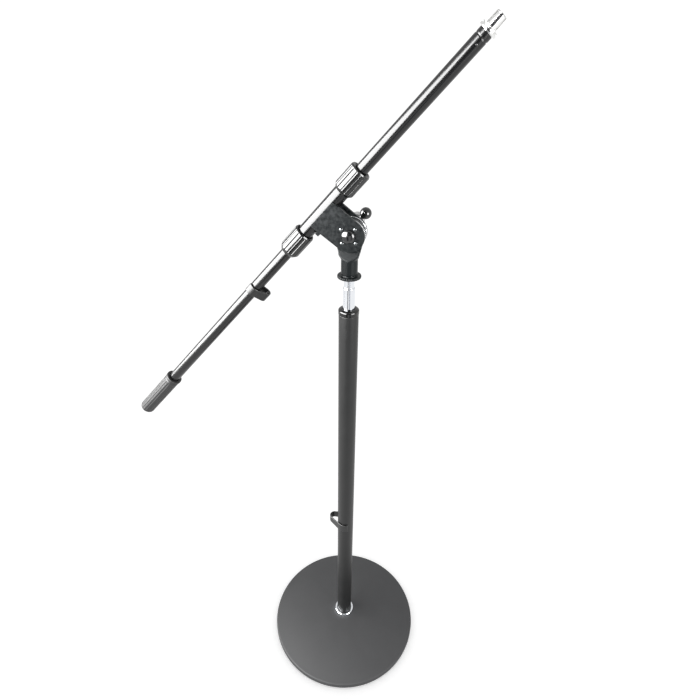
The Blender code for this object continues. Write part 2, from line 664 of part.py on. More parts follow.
def lower_clutch_profile():
    """The lower knob, measured downwards: an open mouth round the sleeve, and a taper to the rod."""
    mouth, foot = LOWER_CLUTCH_MOUTH, LOWER_CLUTCH_FOOT
    bore, rod_bore = SLEEVE_RADIUS + CLEARANCE, ROD_RADIUS + CLUTCH_ROD_PLAY
    taper = foot - LOWER_FOOT_TAPER
    return [
        (bore, mouth + CLUTCH_MOUTH_DEPTH), (CLUTCH_MOUTH_RADIUS, mouth), (CLUTCH_RIM_RADIUS, mouth),
        (CLUTCH_RADIUS, mouth + CLUTCH_RIM_HEIGHT), (CLUTCH_RADIUS, taper),
        (CLUTCH_RADIUS * 0.92, taper + LOWER_FOOT_TAPER * 0.5), (rod_bore + 0.8, foot), (rod_bore, foot),
        (rod_bore, COLLET_FAR + CLEARANCE), (bore, COLLET_FAR - COLLET_SEAT),
    ]


def build_clutches(boom_frame, materials):
    """The two clutch knobs: turning one squeezes its collet on the rod."""
    upside_down = Matrix.Rotation(math.pi, 4, "X")
    upper_frame = make_frame("upper_clutch_frame", (0.0, 0.0, 0.0), boom_frame)
    lower_frame = make_frame("lower_clutch_frame", (0.0, 0.0, 0.0), boom_frame)
    upper, lower = turned(upper_clutch_profile(), MEDIUM), turned(lower_clutch_profile(), MEDIUM)
    make_object("upper_clutch_knob", upper, materials["knob"], upper_frame)
    make_object("lower_clutch_knob", lower, materials["knob"], lower_frame, upside_down)


def build_rod(frame, materials):
    """The long boom rod, its end grip and the threaded tip that takes the microphone holder."""
    inner = ROD_RADIUS - ROD_WALL
    rod = tube_profile(inner, ROD_RADIUS, ROD_BOTTOM, ROD_TOP)
    make_object("boom_rod", turned(rod, MEDIUM), materials["boom"], frame)

    grip_bore = ROD_RADIUS + CLEARANCE
    floor = ROD_BOTTOM - CLEARANCE
    end = arc((GRIP_RADIUS - 4.0, GRIP_BOTTOM + 4.0), 4.0, -90.0, 0.0, 5)
    grip = [(0.0, GRIP_BOTTOM)] + end + [
        (GRIP_RADIUS, GRIP_TOP - 4.0), (GRIP_LIP_RADIUS, GRIP_TOP - 3.0), (GRIP_LIP_RADIUS, GRIP_TOP - 0.6),
        (GRIP_LIP_RADIUS - 0.6, GRIP_TOP), (grip_bore, GRIP_TOP), (grip_bore, floor), (0.0, floor),
    ]
    make_object("end_grip", turned(grip, MEDIUM), materials["grip"], frame)

    spigot = inner - CLEARANCE
    seat = ROD_TOP + CLEARANCE
    bush = [
        (TIP_BORE_RADIUS, seat - TIP_SPIGOT_LENGTH), (spigot, seat - TIP_SPIGOT_LENGTH), (spigot, seat),
        (TIP_FLANGE_RADIUS, seat), (TIP_FLANGE_RADIUS, TIP_FLANGE_TOP - 1.0),
        (TIP_FLANGE_RADIUS - 1.0, TIP_FLANGE_TOP), (TIP_BORE_RADIUS, TIP_FLANGE_TOP),
    ]
    make_object("tip_bush", turned(bush, MEDIUM), materials["chrome"], frame)
    stud_seat = TIP_FLANGE_TOP + CLEARANCE
    shank = TIP_BORE_RADIUS - CLEARANCE
    stud = [
        (0.0, seat - TIP_SPIGOT_LENGTH + 3.0), (shank, seat - TIP_SPIGOT_LENGTH + 3.0), (shank, stud_seat),
        (TIP_STUD_RADIUS, stud_seat), (TIP_STUD_RADIUS, TIP_STUD_TOP - 1.2),
        (TIP_STUD_RADIUS - 1.2, TIP_STUD_TOP), (0.0, TIP_STUD_TOP),
    ]
    make_object("tip_stud", turned(stud, MEDIUM), materials["chrome"], frame)


def build_rod_clip(frame, materials):
    """The cable clip on the boom rod, its pocket on the side towards the mast."""
    path = teardrop_path(
        ROD_CLIP_BAND, ROD_CLIP_POCKET, ROD_CLIP_REACH, ROD_CLIP_BEARING, ROD_CLIP_FRONT, ROD_CLIP_REAR
    )
    path = [(x, -y, depth) for x, y, depth in path]
    shape = strap(path, ROD_CLIP_THICKNESS, ROD_CLIP_HEIGHT_AT_TUBE, ROD_CLIP_HEIGHT_AT_POCKET)
    make_object("boom_cable_clip", shape, materials["clip"], frame)


def main():
    clear_scene()
    materials = {
        "rubber": make_material("sole_rubber", (0.03, 0.03, 0.03), 0.9),
        "base": make_material("base_powder_coat", (0.075, 0.077, 0.08), 0.75),
        "mast": make_material("mast_powder_coat", (0.025, 0.025, 0.027), 0.45),
        "boom": make_material("boom_paint", (0.022, 0.022, 0.025), 0.3),
        "bracket": make_material("bracket_paint", (0.03, 0.036, 0.04), 0.5),
        "chrome": make_material("chrome_plate", (0.75, 0.76, 0.78), 0.12, 1.0),
        "steel": make_material("zinc_steel", (0.55, 0.55, 0.55), 0.35, 1.0),
        "steel_dark": make_material("blackened_steel", (0.04, 0.04, 0.04), 0.4, 1.0),
        "disc": make_material("disc_steel", (0.7, 0.71, 0.72), 0.3, 1.0),
        "rivet": make_material("rivet_steel", (0.45, 0.46, 0.48), 0.3, 1.0),
        "cap": make_material("cap_plastic", (0.012, 0.012, 0.013), 0.2),
        "clip": make_material("clip_plastic", (0.02, 0.02, 0.02), 0.45),
        "knob": make_material("knob_plastic", (0.018, 0.018, 0.018), 0.25),
        "grip": make_material("grip_rubber", (0.045, 0.045, 0.047), 0.65),
        "handle": make_material("handle_plastic", (0.03, 0.03, 0.03), 0.4),
        "ball": make_material("ball_plastic", (0.015, 0.016, 0.016), 0.15),
        "nylon": make_material("bush_nylon", (0.5, 0.5, 0.48), 0.6),
    }
    base_frame = make_frame("base_frame", (0.0, 0.0, 0.0))
    seat = build_base(base_frame, materials)
    build_mast(base_frame, seat, materials)
    mast_clip_frame = make_frame("mast_clip_frame", (0.0, 0.0, MAST_CLIP_HEIGHT), base_frame)
    build_mast_clip(mast_clip_frame, materials)

    slide_frame = make_frame("height_frame", (0.0, 0.0, PIVOT_HEIGHT), base_frame)
    build_inner_tube(slide_frame, materials)
    ring_frame = make_frame("lock_ring_frame", (0.0, 0.0, 0.0), slide_frame)
    build_lock_ring(ring_frame, materials)
    head_frame = make_frame("head_frame", (0.0, 0.0, 0.0), slide_frame)
    build_head(head_frame, materials)

    tilt_frame = make_frame("tilt_frame", (0.0, 0.0, 0.0), head_frame, 90.0 - BOOM_ELEVATION)
    build_bracket(tilt_frame, materials)
    build_pivot_bolt(tilt_frame, materials)
    handle_frame = make_frame("handle_frame", (0.0, 0.0, 0.0), tilt_frame, BOOM_ELEVATION - 90.0)
    build_handle(handle_frame, materials)

    boom_frame = make_frame("boom_frame", (-BOOM_OFFSET, 0.0, 0.0), tilt_frame)
    build_sleeve(boom_frame, materials)
    build_clutches(boom_frame, materials)
    rod_frame = make_frame("rod_frame", (0.0, 0.0, 0.0), boom_frame)
    build_rod(rod_frame, materials)
    rod_clip_frame = make_frame("rod_clip_frame", (0.0, 0.0, ROD_CLIP_STATION), rod_frame)
    build_rod_clip(rod_clip_frame, materials)


main()
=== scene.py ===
"""Looks of a boom microphone stand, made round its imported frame.

Each sub-assembly is a class that holds its sizes, builds its meshes and gives them their finish.
Sizes are in millimetres and angles in degrees. Shapes are worked in their own axes, Z along the
part's own length, and are then placed in the frame, which is in metres.
"""

from __future__ import annotations

import json
import logging
import math
from collections.abc import Callable, Sequence
from dataclasses import dataclass
from enum import Enum

import bmesh
import bpy
from mathutils import Matrix, Vector

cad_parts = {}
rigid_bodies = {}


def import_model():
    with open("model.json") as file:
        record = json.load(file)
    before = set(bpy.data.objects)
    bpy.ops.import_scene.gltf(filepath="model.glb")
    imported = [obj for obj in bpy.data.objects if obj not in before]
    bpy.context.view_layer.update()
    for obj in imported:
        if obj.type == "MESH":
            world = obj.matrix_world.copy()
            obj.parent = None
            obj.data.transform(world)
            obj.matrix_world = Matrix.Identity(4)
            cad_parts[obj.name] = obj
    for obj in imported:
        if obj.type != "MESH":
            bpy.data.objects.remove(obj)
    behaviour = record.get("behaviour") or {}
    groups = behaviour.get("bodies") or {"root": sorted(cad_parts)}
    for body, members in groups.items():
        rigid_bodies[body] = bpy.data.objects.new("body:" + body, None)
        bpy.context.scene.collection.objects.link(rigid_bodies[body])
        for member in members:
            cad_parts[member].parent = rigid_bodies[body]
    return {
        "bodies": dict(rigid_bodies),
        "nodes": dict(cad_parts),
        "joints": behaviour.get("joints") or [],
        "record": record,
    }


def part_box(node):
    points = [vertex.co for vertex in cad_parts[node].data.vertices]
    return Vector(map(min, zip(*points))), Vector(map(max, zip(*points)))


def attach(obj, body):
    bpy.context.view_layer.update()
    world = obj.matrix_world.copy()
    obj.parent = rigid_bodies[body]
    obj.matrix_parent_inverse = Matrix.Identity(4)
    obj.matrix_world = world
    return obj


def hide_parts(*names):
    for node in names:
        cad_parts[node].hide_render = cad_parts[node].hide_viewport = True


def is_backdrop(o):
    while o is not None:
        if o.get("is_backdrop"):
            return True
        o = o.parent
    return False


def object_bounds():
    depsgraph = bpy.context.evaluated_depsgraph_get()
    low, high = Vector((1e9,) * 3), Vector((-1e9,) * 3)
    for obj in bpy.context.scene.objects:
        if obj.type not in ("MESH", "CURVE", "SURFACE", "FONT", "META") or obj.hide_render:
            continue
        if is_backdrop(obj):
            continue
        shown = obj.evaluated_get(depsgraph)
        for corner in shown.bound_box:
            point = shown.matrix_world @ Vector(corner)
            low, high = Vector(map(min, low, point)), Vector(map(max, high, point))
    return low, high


LOG = logging.getLogger("boom_stand")
MM = 0.001
TINY = 1e-6
SAME_SPOT = 1e-4
SHARP_EDGE = 38.0
GAP = 0.3
BOOM_CLIP_STATION = -138.0
FACING_FRONT = Matrix.Rotation(math.radians(90.0), 4, "X")
FACING_REAR = Matrix.Rotation(math.radians(-90.0), 4, "X")
TURNED_ROUND = Matrix.Rotation(math.pi, 4, "X")

Colour = tuple[float, float, float]
Place = tuple[float, float, float]
Point = tuple[float, float]
Corner = tuple[float, float, float]


class Steps(Enum):
    """How many sides a turned shape has."""

    COARSE = 48
    MEDIUM = 96
    FINE = 192


class Lines(Enum):
    """Which way the fine tool marks of a surface run."""

    NONE = "none"
    AROUND = "around"
    ALONG = "along"


class Joining(Enum):
    """How one solid is worked into another."""

    CUT = "DIFFERENCE"
    TRIM = "INTERSECT"
    WELD = "UNION"


# ---------------------------------------------------------------- shader node groups


def shader_group(name: str, inputs: dict[str, float | str], outputs: Sequence[str]) -> bpy.types.NodeTree:
    """Starts a shader node group.

    Args:
        name: The group's name.
        inputs: Input names, with a number for a value or the word vector.
        outputs: Names of the values it puts out.

    Returns:
        The group, with its input and output nodes made.
    """
    tree = bpy.data.node_groups.new(name, "ShaderNodeTree")
    for label, default in inputs.items():
        if default == "vector":
            tree.interface.new_socket(label, in_out="INPUT", socket_type="NodeSocketVector")
        else:
            socket = tree.interface.new_socket(label, in_out="INPUT", socket_type="NodeSocketFloat")
            socket.default_value = default
    for label in outputs:
        tree.interface.new_socket(label, in_out="OUTPUT", socket_type="NodeSocketFloat")
    tree.nodes.new("NodeGroupInput").name = "in"
    tree.nodes.new("NodeGroupOutput").name = "out"
    return tree


class Wiring:
    """Adds nodes to a tree and joins them, one short call each."""

    def __init__(self, tree: bpy.types.NodeTree) -> None:
        """Holds the tree."""
        self.tree = tree

    def node(self, kind: str, inputs: dict[str | int, object] | None = None,
             **settings: object) -> bpy.types.Node:
        """Makes a node.

        Args:
            kind: The node's type name.
            inputs: Values or sockets for its inputs, by name or number.
            **settings: The node's own properties.

        Returns:
            The new node.
        """
        made = self.tree.nodes.new(kind)
        for key, value in settings.items():
            setattr(made, key, value)
        for key, value in (inputs or {}).items():
            if isinstance(value, bpy.types.NodeSocket):
                self.tree.links.new(value, made.inputs[key])
            else:
                made.inputs[key].default_value = value
        return made

    def math(self, operation: str, *values: object, clamp: bool = False) -> bpy.types.NodeSocket:
        """A Math node.

        Args:
            operation: The node's operation.
            *values: Its inputs in order, numbers or sockets.
            clamp: Whether the result is kept between 0 and 1.

        Returns:
            The node's result.
        """
        made = self.node("ShaderNodeMath", dict(enumerate(values)), operation=operation, use_clamp=clamp)
        return made.outputs[0]


def grain_group() -> bpy.types.NodeTree:
    """The fine bumps of a coat or a moulding, and its slow change of shade.

    Returns:
        A group from a position to the height of the grain and a mottle from 0 to 1.
    """
    tree = shader_group("surface grain", {"Vector": "vector", "Size": 0.001, "Mottle Size": 0.03},
                        ("Height", "Mottle"))
    wire = Wiring(tree)
    given = tree.nodes["in"].outputs
    fine = wire.node("ShaderNodeTexNoise", {
        "Vector": given["Vector"], "Scale": wire.math("DIVIDE", 1.0, given["Size"]),
        "Detail": 3.0, "Roughness": 0.6,
    })
    slow = wire.node("ShaderNodeTexNoise", {
        "Vector": given["Vector"], "Scale": wire.math("DIVIDE", 1.0, given["Mottle Size"]),
        "Detail": 4.0, "Roughness": 0.65,
    })
    tree.links.new(fine.outputs["Fac"], tree.nodes["out"].inputs["Height"])
    tree.links.new(slow.outputs["Fac"], tree.nodes["out"].inputs["Mottle"])
    return tree


def wear_and_sheen_group() -> bpy.types.NodeTree:
    """Where a finish is rubbed thin, and where its outer edges are lightened as a painted highlight: outer
    edges, broken up by a noise.

    Returns:
        A group from a position and an amount to a mask of rubbed edges and painted edge highlight.
    """
    tree = shader_group("edge wear", {"Vector": "vector", "Amount": 0.5, "Breakup": 0.004}, ("Mask",))
    wire = Wiring(tree)
    given = tree.nodes["in"].outputs
    shape = wire.node("ShaderNodeNewGeometry")
    # Pointiness picks out convex edges: the mask rubs the paint thin there and also paints a highlight along
    # them.
    edge = wire.node("ShaderNodeMapRange", {
        "Value": shape.outputs["Pointiness"], "From Min": 0.515, "From Max": 0.6,
    })
    patches = wire.node("ShaderNodeTexNoise", {
        "Vector": given["Vector"], "Scale": wire.math("DIVIDE", 1.0, given["Breakup"]), "Detail": 4.0,
    })
    broken = wire.node("ShaderNodeMapRange", {
        "Value": patches.outputs["Fac"], "From Min": 0.35, "From Max": 0.65,
    })
    worn_and_sheen = wire.math("MULTIPLY", edge.outputs["Result"], broken.outputs["Result"])
    mask = wire.math("MULTIPLY", worn_and_sheen, given["Amount"], clamp=True)
    tree.links.new(mask, tree.nodes["out"].inputs["Mask"])
    return tree


def dust_group() -> bpy.types.NodeTree:
    """Thin dust on faces that look up.

    Returns:
        A group from a position and an amount to a mask.
    """
    tree = shader_group("light dust", {"Vector": "vector", "Amount": 0.1, "Patch": 0.02}, ("Mask",))
    wire = Wiring(tree)
    given = tree.nodes["in"].outputs
    shape = wire.node("ShaderNodeNewGeometry")
    facing = wire.node("ShaderNodeSeparateXYZ", {0: shape.outputs["Normal"]})
    upward = wire.node("ShaderNodeMapRange", {
        "Value": facing.outputs["Z"], "From Min": 0.2, "From Max": 1.0,
    })
    patches = wire.node("ShaderNodeTexNoise", {
        "Vector": given["Vector"], "Scale": wire.math("DIVIDE", 1.0, given["Patch"]),
        "Detail": 6.0, "Roughness": 0.7,
    })
    settled = wire.math("MULTIPLY", upward.outputs["Result"], patches.outputs["Fac"])
    mask = wire.math("MULTIPLY", settled, given["Amount"], clamp=True)
    tree.links.new(mask, tree.nodes["out"].inputs["Mask"])
    return tree


DRAWN_LINES_ROUND = 40.0
DRAWN_LINES_LONG = 12.0


def tool_marks_group() -> bpy.types.NodeTree:
    """Fine lines left by turning or drawing, for a position in the part's own axes.

    Returns:
        A group from a position and a spacing to lines that run around and along.
    """
    tree = shader_group("tool marks", {"Vector": "vector", "Spacing": 0.0004}, ("Around", "Along"))
    wire = Wiring(tree)
    given = tree.nodes["in"].outputs
    place = wire.node("ShaderNodeSeparateXYZ", {0: given["Vector"]}).outputs
    density = wire.math("DIVIDE", 1.0, given["Spacing"])
    square = wire.math("ADD", wire.math("MULTIPLY", place["X"], place["X"]),
                       wire.math("MULTIPLY", place["Y"], place["Y"]))
    reach = wire.math("ADD", wire.math("SQRT", square), place["Z"])
    around = wire.node("ShaderNodeTexNoise", {
        "W": wire.math("MULTIPLY", reach, density), "Scale": 1.0, "Detail": 2.0,
    }, noise_dimensions="1D")
    angle = wire.math("ARCTAN2", place["Y"], place["X"])
    spread = wire.node("ShaderNodeCombineXYZ", {
        "X": wire.math("MULTIPLY", wire.math("COSINE", angle), DRAWN_LINES_ROUND),
        "Y": wire.math("MULTIPLY", wire.math("SINE", angle), DRAWN_LINES_ROUND),
        "Z": wire.math("MULTIPLY", place["Z"], DRAWN_LINES_LONG),
    })
    along = wire.node("ShaderNodeTexNoise", {"Vector": spread.outputs[0], "Scale": 1.0, "Detail": 3.0})
    tree.links.new(around.outputs["Fac"], tree.nodes["out"].inputs["Around"])
    tree.links.new(along.outputs["Fac"], tree.nodes["out"].inputs["Along"])
    return tree


@dataclass(frozen=True)
class ShaderGroups:
    """The effects that the finishes share."""

    grain: bpy.types.NodeTree
    wear: bpy.types.NodeTree
    dust: bpy.types.NodeTree
    marks: bpy.types.NodeTree

    @classmethod
    def made(cls) -> ShaderGroups:
        """Builds each group once."""
        return cls(grain_group(), wear_and_sheen_group(), dust_group(), tool_marks_group())


# ---------------------------------------------------------------- finishes


DUST: Colour = (0.32, 0.31, 0.29)
DUST_ROUGHNESS = 0.5
LEAST_ROUGHNESS = 0.04
BLACK: Colour = (0.006, 0.006, 0.0065)
# Lighter than the black paints: for rubbed edges and for a painted highlight along them.
WORN_AND_SHEEN_PAINT: Colour = (0.03, 0.03, 0.031)


@dataclass(frozen=True)
class Finish:
    """A surface finish: its colour, its gloss, its grain, how it wears and the painted highlight along its
    edges.

    Lengths in a finish are in millimetres. Tool marks are centred on the axes of `axes`.
    """

    slot: str
    colour: Colour
    roughness: float
    metallic: float = 0.0
    specular: float = 0.5
    grain_size: float = 0.8
    grain_depth: float = 0.01
    mottle: float = 0.1
    mottle_size: float = 30.0
    roughness_spread: float = 0.08
    # Edge colour and amount: rubbed edges plus a painted highlight on convex edges.
    worn_and_sheen_colour: Colour = (0.2, 0.2, 0.2)
    wear: float = 0.3
    dust: float = 0.05
    lines: Lines = Lines.NONE
    line_depth: float = 0.0
    line_spacing: float = 0.4
    axes: str = "mast"

    def _mixed(self, wire: Wiring, share: object, first: object, second: object) -> bpy.types.NodeSocket:
        """A colour between two others.

        Args:
            wire: The material's wiring.
            share: How much of the second colour there is.
            first: The first colour or its socket.
            second: The second colour or its socket.

        Returns:
            The mixed colour's socket.
        """
        first, second = ((*ink, 1.0) if isinstance(ink, tuple) else ink for ink in (first, second))
        made = wire.node("ShaderNodeMix", {0: share, 6: first, 7: second}, data_type="RGBA")
        return made.outputs[2]

    def material(self, groups: ShaderGroups, axes: dict[str, Matrix]) -> bpy.types.Material:
        """Builds the material.

        Args:
            groups: The shared effects.
            axes: Named axes that tool marks are centred on.

        Returns:
            The finished material.
        """
        made = bpy.data.materials.new(f"{self.slot}_finish")
        made.use_nodes = True
        tree = made.node_tree
        wire = Wiring(tree)
        shader = tree.nodes["Principled BSDF"]
        shader.inputs["Metallic"].default_value = self.metallic
        shader.inputs["Specular IOR Level"].default_value = self.specular
        place = wire.node("ShaderNodeTexCoord").outputs["Object"]

        grain = wire.node("ShaderNodeGroup", node_tree=groups.grain, inputs={
            "Vector": place, "Size": self.grain_size * MM, "Mottle Size": self.mottle_size * MM,
        })
        # Edges mixed to a lighter colour: rubbed paint and a painted edge highlight.
        wear = wire.node("ShaderNodeGroup", {"Vector": place, "Amount": self.wear}, node_tree=groups.wear)
        dust = wire.node("ShaderNodeGroup", {"Vector": place, "Amount": self.dust}, node_tree=groups.dust)
        darker = tuple(channel * (1.0 - self.mottle) for channel in self.colour)
        lighter = tuple(channel * (1.0 + self.mottle) for channel in self.colour)
        base = self._mixed(wire, grain.outputs["Mottle"], darker, lighter)
        base = self._mixed(wire, wear.outputs["Mask"], base, self.worn_and_sheen_colour)
        base = self._mixed(wire, dust.outputs["Mask"], base, DUST)
        tree.links.new(base, shader.inputs["Base Color"])

        spread = wire.node("ShaderNodeMapRange", {
            "Value": grain.outputs["Mottle"], "To Min": self.roughness - self.roughness_spread,
            "To Max": self.roughness + self.roughness_spread,
        })
        dusted = wire.math("MULTIPLY_ADD", dust.outputs["Mask"], DUST_ROUGHNESS, spread.outputs["Result"])
        roughness = wire.math("MAXIMUM", dusted, LEAST_ROUGHNESS, clamp=True)
        tree.links.new(roughness, shader.inputs["Roughness"])

        height = wire.math("MULTIPLY", grain.outputs["Height"], self.grain_depth)
        if self.lines is not Lines.NONE:
            centred = self._centred(wire, place, axes[self.axes])
            marks = wire.node("ShaderNodeGroup", node_tree=groups.marks, inputs={
                "Vector": centred, "Spacing": self.line_spacing * MM,
            })
            drawn = marks.outputs[self.lines.value.title()]
            height = wire.math("MULTIPLY_ADD", drawn, self.line_depth, height)
        bump = wire.node("ShaderNodeBump", {"Height": height, "Strength": 1.0, "Distance": MM})
        tree.links.new(bump.outputs["Normal"], shader.inputs["Normal"])
        return made

    def _centred(self, wire: Wiring, place: bpy.types.NodeSocket, axes: Matrix) -> bpy.types.NodeSocket:
        """The position in a part's own axes.

        Args:
            wire: The material's wiring.
            place: The position in the frame.
            axes: The part's axes in the frame.

        Returns:
            The position's socket.
        """
        inverse = axes.inverted()
        mapping = wire.node("ShaderNodeMapping", {
            "Vector": place, "Location": inverse.translation, "Rotation": inverse.to_euler("XYZ"),
        })
        return mapping.outputs[0]


# Each finish's edge colour and amount give both its rubbed edges and the painted highlight along them.
FINISHES = (
    Finish("sole_rubber", (0.018, 0.018, 0.018), 0.8, grain_size=0.5, grain_depth=0.03, wear=0.1),
    Finish("base_powder_coat", (0.046, 0.047, 0.05), 0.62, specular=0.35, grain_size=0.9, grain_depth=0.03,
           mottle=0.1, mottle_size=45.0, worn_and_sheen_colour=(0.12, 0.12, 0.125), wear=0.5, dust=0.04),
    Finish("mast_powder_coat", (0.009, 0.0095, 0.0095), 0.4, specular=0.4, grain_size=0.6, grain_depth=0.006,
           mottle=0.12, worn_and_sheen_colour=WORN_AND_SHEEN_PAINT, wear=0.5, dust=0.01),
    Finish("boom_paint", BLACK, 0.2, grain_size=0.9, grain_depth=0.0008, mottle=0.12, roughness_spread=0.03,
           worn_and_sheen_colour=WORN_AND_SHEEN_PAINT, wear=0.5, dust=0.01),
    Finish("bracket_paint", (0.009, 0.013, 0.0145), 0.3, specular=0.2, grain_size=0.5, grain_depth=0.001,
           mottle=0.06, mottle_size=12.0, worn_and_sheen_colour=(0.2, 0.21, 0.215), wear=0.9, dust=0.005,
           roughness_spread=0.03),
    Finish("bolt_black", (0.012, 0.013, 0.014), 0.14, specular=0.8, grain_depth=0.0006, mottle=0.1,
           worn_and_sheen_colour=(0.3, 0.3, 0.3), wear=0.4, dust=0.01, axes="pivot", lines=Lines.AROUND,
           line_depth=0.0005, roughness_spread=0.03),
    Finish("chrome_plate", (0.78, 0.8, 0.83), 0.1, metallic=1.0, grain_depth=0.0006, mottle=0.05,
           worn_and_sheen_colour=(0.6, 0.6, 0.6), wear=0.2, roughness_spread=0.04, dust=0.02,
           lines=Lines.ALONG, line_depth=0.002),
    Finish("tip_plate", (0.8, 0.8, 0.79), 0.13, metallic=1.0, grain_depth=0.0006, mottle=0.05,
           worn_and_sheen_colour=(0.6, 0.6, 0.6), wear=0.2, roughness_spread=0.04, dust=0.02,
           lines=Lines.AROUND, line_depth=0.001, axes="boom"),
    Finish("zinc_steel", (0.5, 0.5, 0.5), 0.3, metallic=1.0, grain_size=1.5, grain_depth=0.004,
           worn_and_sheen_colour=(0.7, 0.7, 0.7), wear=0.3, axes="pivot", lines=Lines.AROUND, line_depth=0.004),
    Finish("blackened_steel", (0.05, 0.05, 0.052), 0.3, metallic=1.0, grain_depth=0.003,
           worn_and_sheen_colour=(0.35, 0.35, 0.35), wear=0.6),
    Finish("disc_steel", (0.78, 0.79, 0.8), 0.25, metallic=1.0, grain_depth=0.001, mottle=0.05,
           worn_and_sheen_colour=(0.9, 0.9, 0.9), axes="pivot", lines=Lines.AROUND, line_depth=0.004),
    Finish("rivet_steel", (0.16, 0.17, 0.175), 0.2, metallic=1.0, grain_depth=0.002,
           worn_and_sheen_colour=(0.8, 0.8, 0.8), axes="pivot"),
    Finish("cap_plastic", (0.005, 0.005, 0.0055), 0.12, specular=0.6, grain_depth=0.0006, wear=0.2,
           roughness_spread=0.03, dust=0.01),
    Finish("clip_plastic", (0.009, 0.0095, 0.0095), 0.34, grain_size=0.5, grain_depth=0.003, wear=0.5,
           dust=0.01, worn_and_sheen_colour=(0.07, 0.07, 0.07)),
    Finish("knob_plastic", (0.006, 0.0065, 0.0065), 0.16, specular=0.65, grain_depth=0.0006, wear=0.5,
           worn_and_sheen_colour=(0.05, 0.05, 0.05), roughness_spread=0.03, dust=0.01),
    Finish("grip_rubber", (0.016, 0.016, 0.0165), 0.45, grain_size=0.5, grain_depth=0.006, wear=0.3,
           worn_and_sheen_colour=(0.06, 0.06, 0.06), dust=0.02),
    Finish("handle_plastic", (0.012, 0.012, 0.012), 0.35, grain_size=0.6, grain_depth=0.004, wear=0.4),
    Finish("ball_plastic", (0.008, 0.009, 0.009), 0.1, specular=0.75, grain_depth=0.0004, wear=0.1,
           roughness_spread=0.02, dust=0.01),
    Finish("bush_nylon", (0.45, 0.45, 0.43), 0.5, grain_size=0.7, grain_depth=0.008, wear=0.1),
)


# ---------------------------------------------------------------- geometry node trees


class PartTree:
    """A geometry node tree in the making, ended by realised instances and a material."""

    def __init__(self, name: str, inputs: dict[str, str]) -> None:
        """Starts a tree.

        Args:
            name: The tree's name.
            inputs: Input names with their socket kinds, after the geometry.
        """
        self.tree = bpy.data.node_groups.new(name, "GeometryNodeTree")
        for label, kind in {"Geometry": "Geometry", **inputs, "Finish": "Material"}.items():
            self.tree.interface.new_socket(label, in_out="INPUT", socket_type=f"NodeSocket{kind}")
        self.tree.interface.new_socket("Geometry", in_out="OUTPUT", socket_type="NodeSocketGeometry")
        self.wire = Wiring(self.tree)
        self.given = self.wire.node("NodeGroupInput").outputs

    def close(self, shape: bpy.types.NodeSocket) -> bpy.types.NodeTree:
        """Ends the tree.

        Args:
            shape: The geometry to put out.

        Returns:
            The finished tree.
        """
        real = self.wire.node("GeometryNodeRealizeInstances", {0: shape})
        dressed = self.wire.node("GeometryNodeSetMaterial", {
            "Geometry": real.outputs[0], "Material": self.given["Finish"],
        })
        self.wire.node("NodeGroupOutput", {0: dressed.outputs[0]})
        return self.tree

    def polar(self) -> tuple[bpy.types.NodeSocket, bpy.types.NodeSocket, bpy.types.NodeSocket]:
        """Reads where each point lies round Z.

        Returns:
            The point's angle round Z, its height, and its direction away from Z.
        """
        position = self.wire.node("GeometryNodeInputPosition")
        place = self.wire.node("ShaderNodeSeparateXYZ", {0: position.outputs[0]})
        angle = self.wire.math("ARCTAN2", place.outputs["Y"], place.outputs["X"])
        flat = self.wire.node("ShaderNodeCombineXYZ", {"X": place.outputs["X"], "Y": place.outputs["Y"]})
        outward = self.wire.node("ShaderNodeVectorMath", {0: flat.outputs[0]}, operation="NORMALIZE")
        return angle, place.outputs["Z"], outward.outputs[0]

    def sunk(self, outward: bpy.types.NodeSocket, depth: bpy.types.NodeSocket) -> bpy.types.NodeSocket:
        """Moves the worked points in towards Z.

        Args:
            outward: The direction away from Z.
            depth: How far each point goes in.

        Returns:
            The moved geometry.
        """
        worked = self.wire.node("GeometryNodeInputNamedAttribute", {"Name": "worked"}, data_type="FLOAT")
        inward = self.wire.math("MULTIPLY", self.wire.math("MULTIPLY", depth, worked.outputs[0]), -1.0)
        offset = self.wire.node("ShaderNodeVectorMath", {0: outward, "Scale": inward}, operation="SCALE")
        moved = self.wire.node("GeometryNodeSetPosition", {
            "Geometry": self.given["Geometry"], "Offset": offset.outputs[0],
        })
        return moved.outputs[0]


def flute_tree() -> bpy.types.NodeTree:
    """Flutes along a turned shape, where its points are marked as worked.

    Returns:
        A tree with the number of flutes, their depth and how narrow they are.
    """
    part = PartTree("flutes", {"Count": "Float", "Depth": "Float", "Narrowness": "Float", "Turn": "Float"})
    wire = part.wire
    angle, _, outward = part.polar()
    turned = wire.math("ADD", angle, part.given["Turn"])
    wave = wire.math("COSINE", wire.math("MULTIPLY", turned, part.given["Count"]))
    share = wire.math("POWER", wire.math("MULTIPLY_ADD", wave, 0.5, 0.5), part.given["Narrowness"])
    return part.close(part.sunk(outward, wire.math("MULTIPLY", share, part.given["Depth"])))


def thread_tree() -> bpy.types.NodeTree:
    """A screw thread round a turned shape, where its points are marked as worked.

    Returns:
        A tree with the thread's pitch and depth.
    """
    part = PartTree("thread", {"Pitch": "Float", "Depth": "Float"})
    wire = part.wire
    angle, height, outward = part.polar()
    turns = wire.math("SUBTRACT", wire.math("DIVIDE", height, part.given["Pitch"]),
                      wire.math("DIVIDE", angle, math.tau))
    ramp = wire.math("ABSOLUTE", wire.math("SUBTRACT", wire.math("FRACT", turns), 0.5))
    depth = wire.math("MULTIPLY", ramp, wire.math("MULTIPLY", part.given["Depth"], 2.0))
    return part.close(part.sunk(outward, depth))


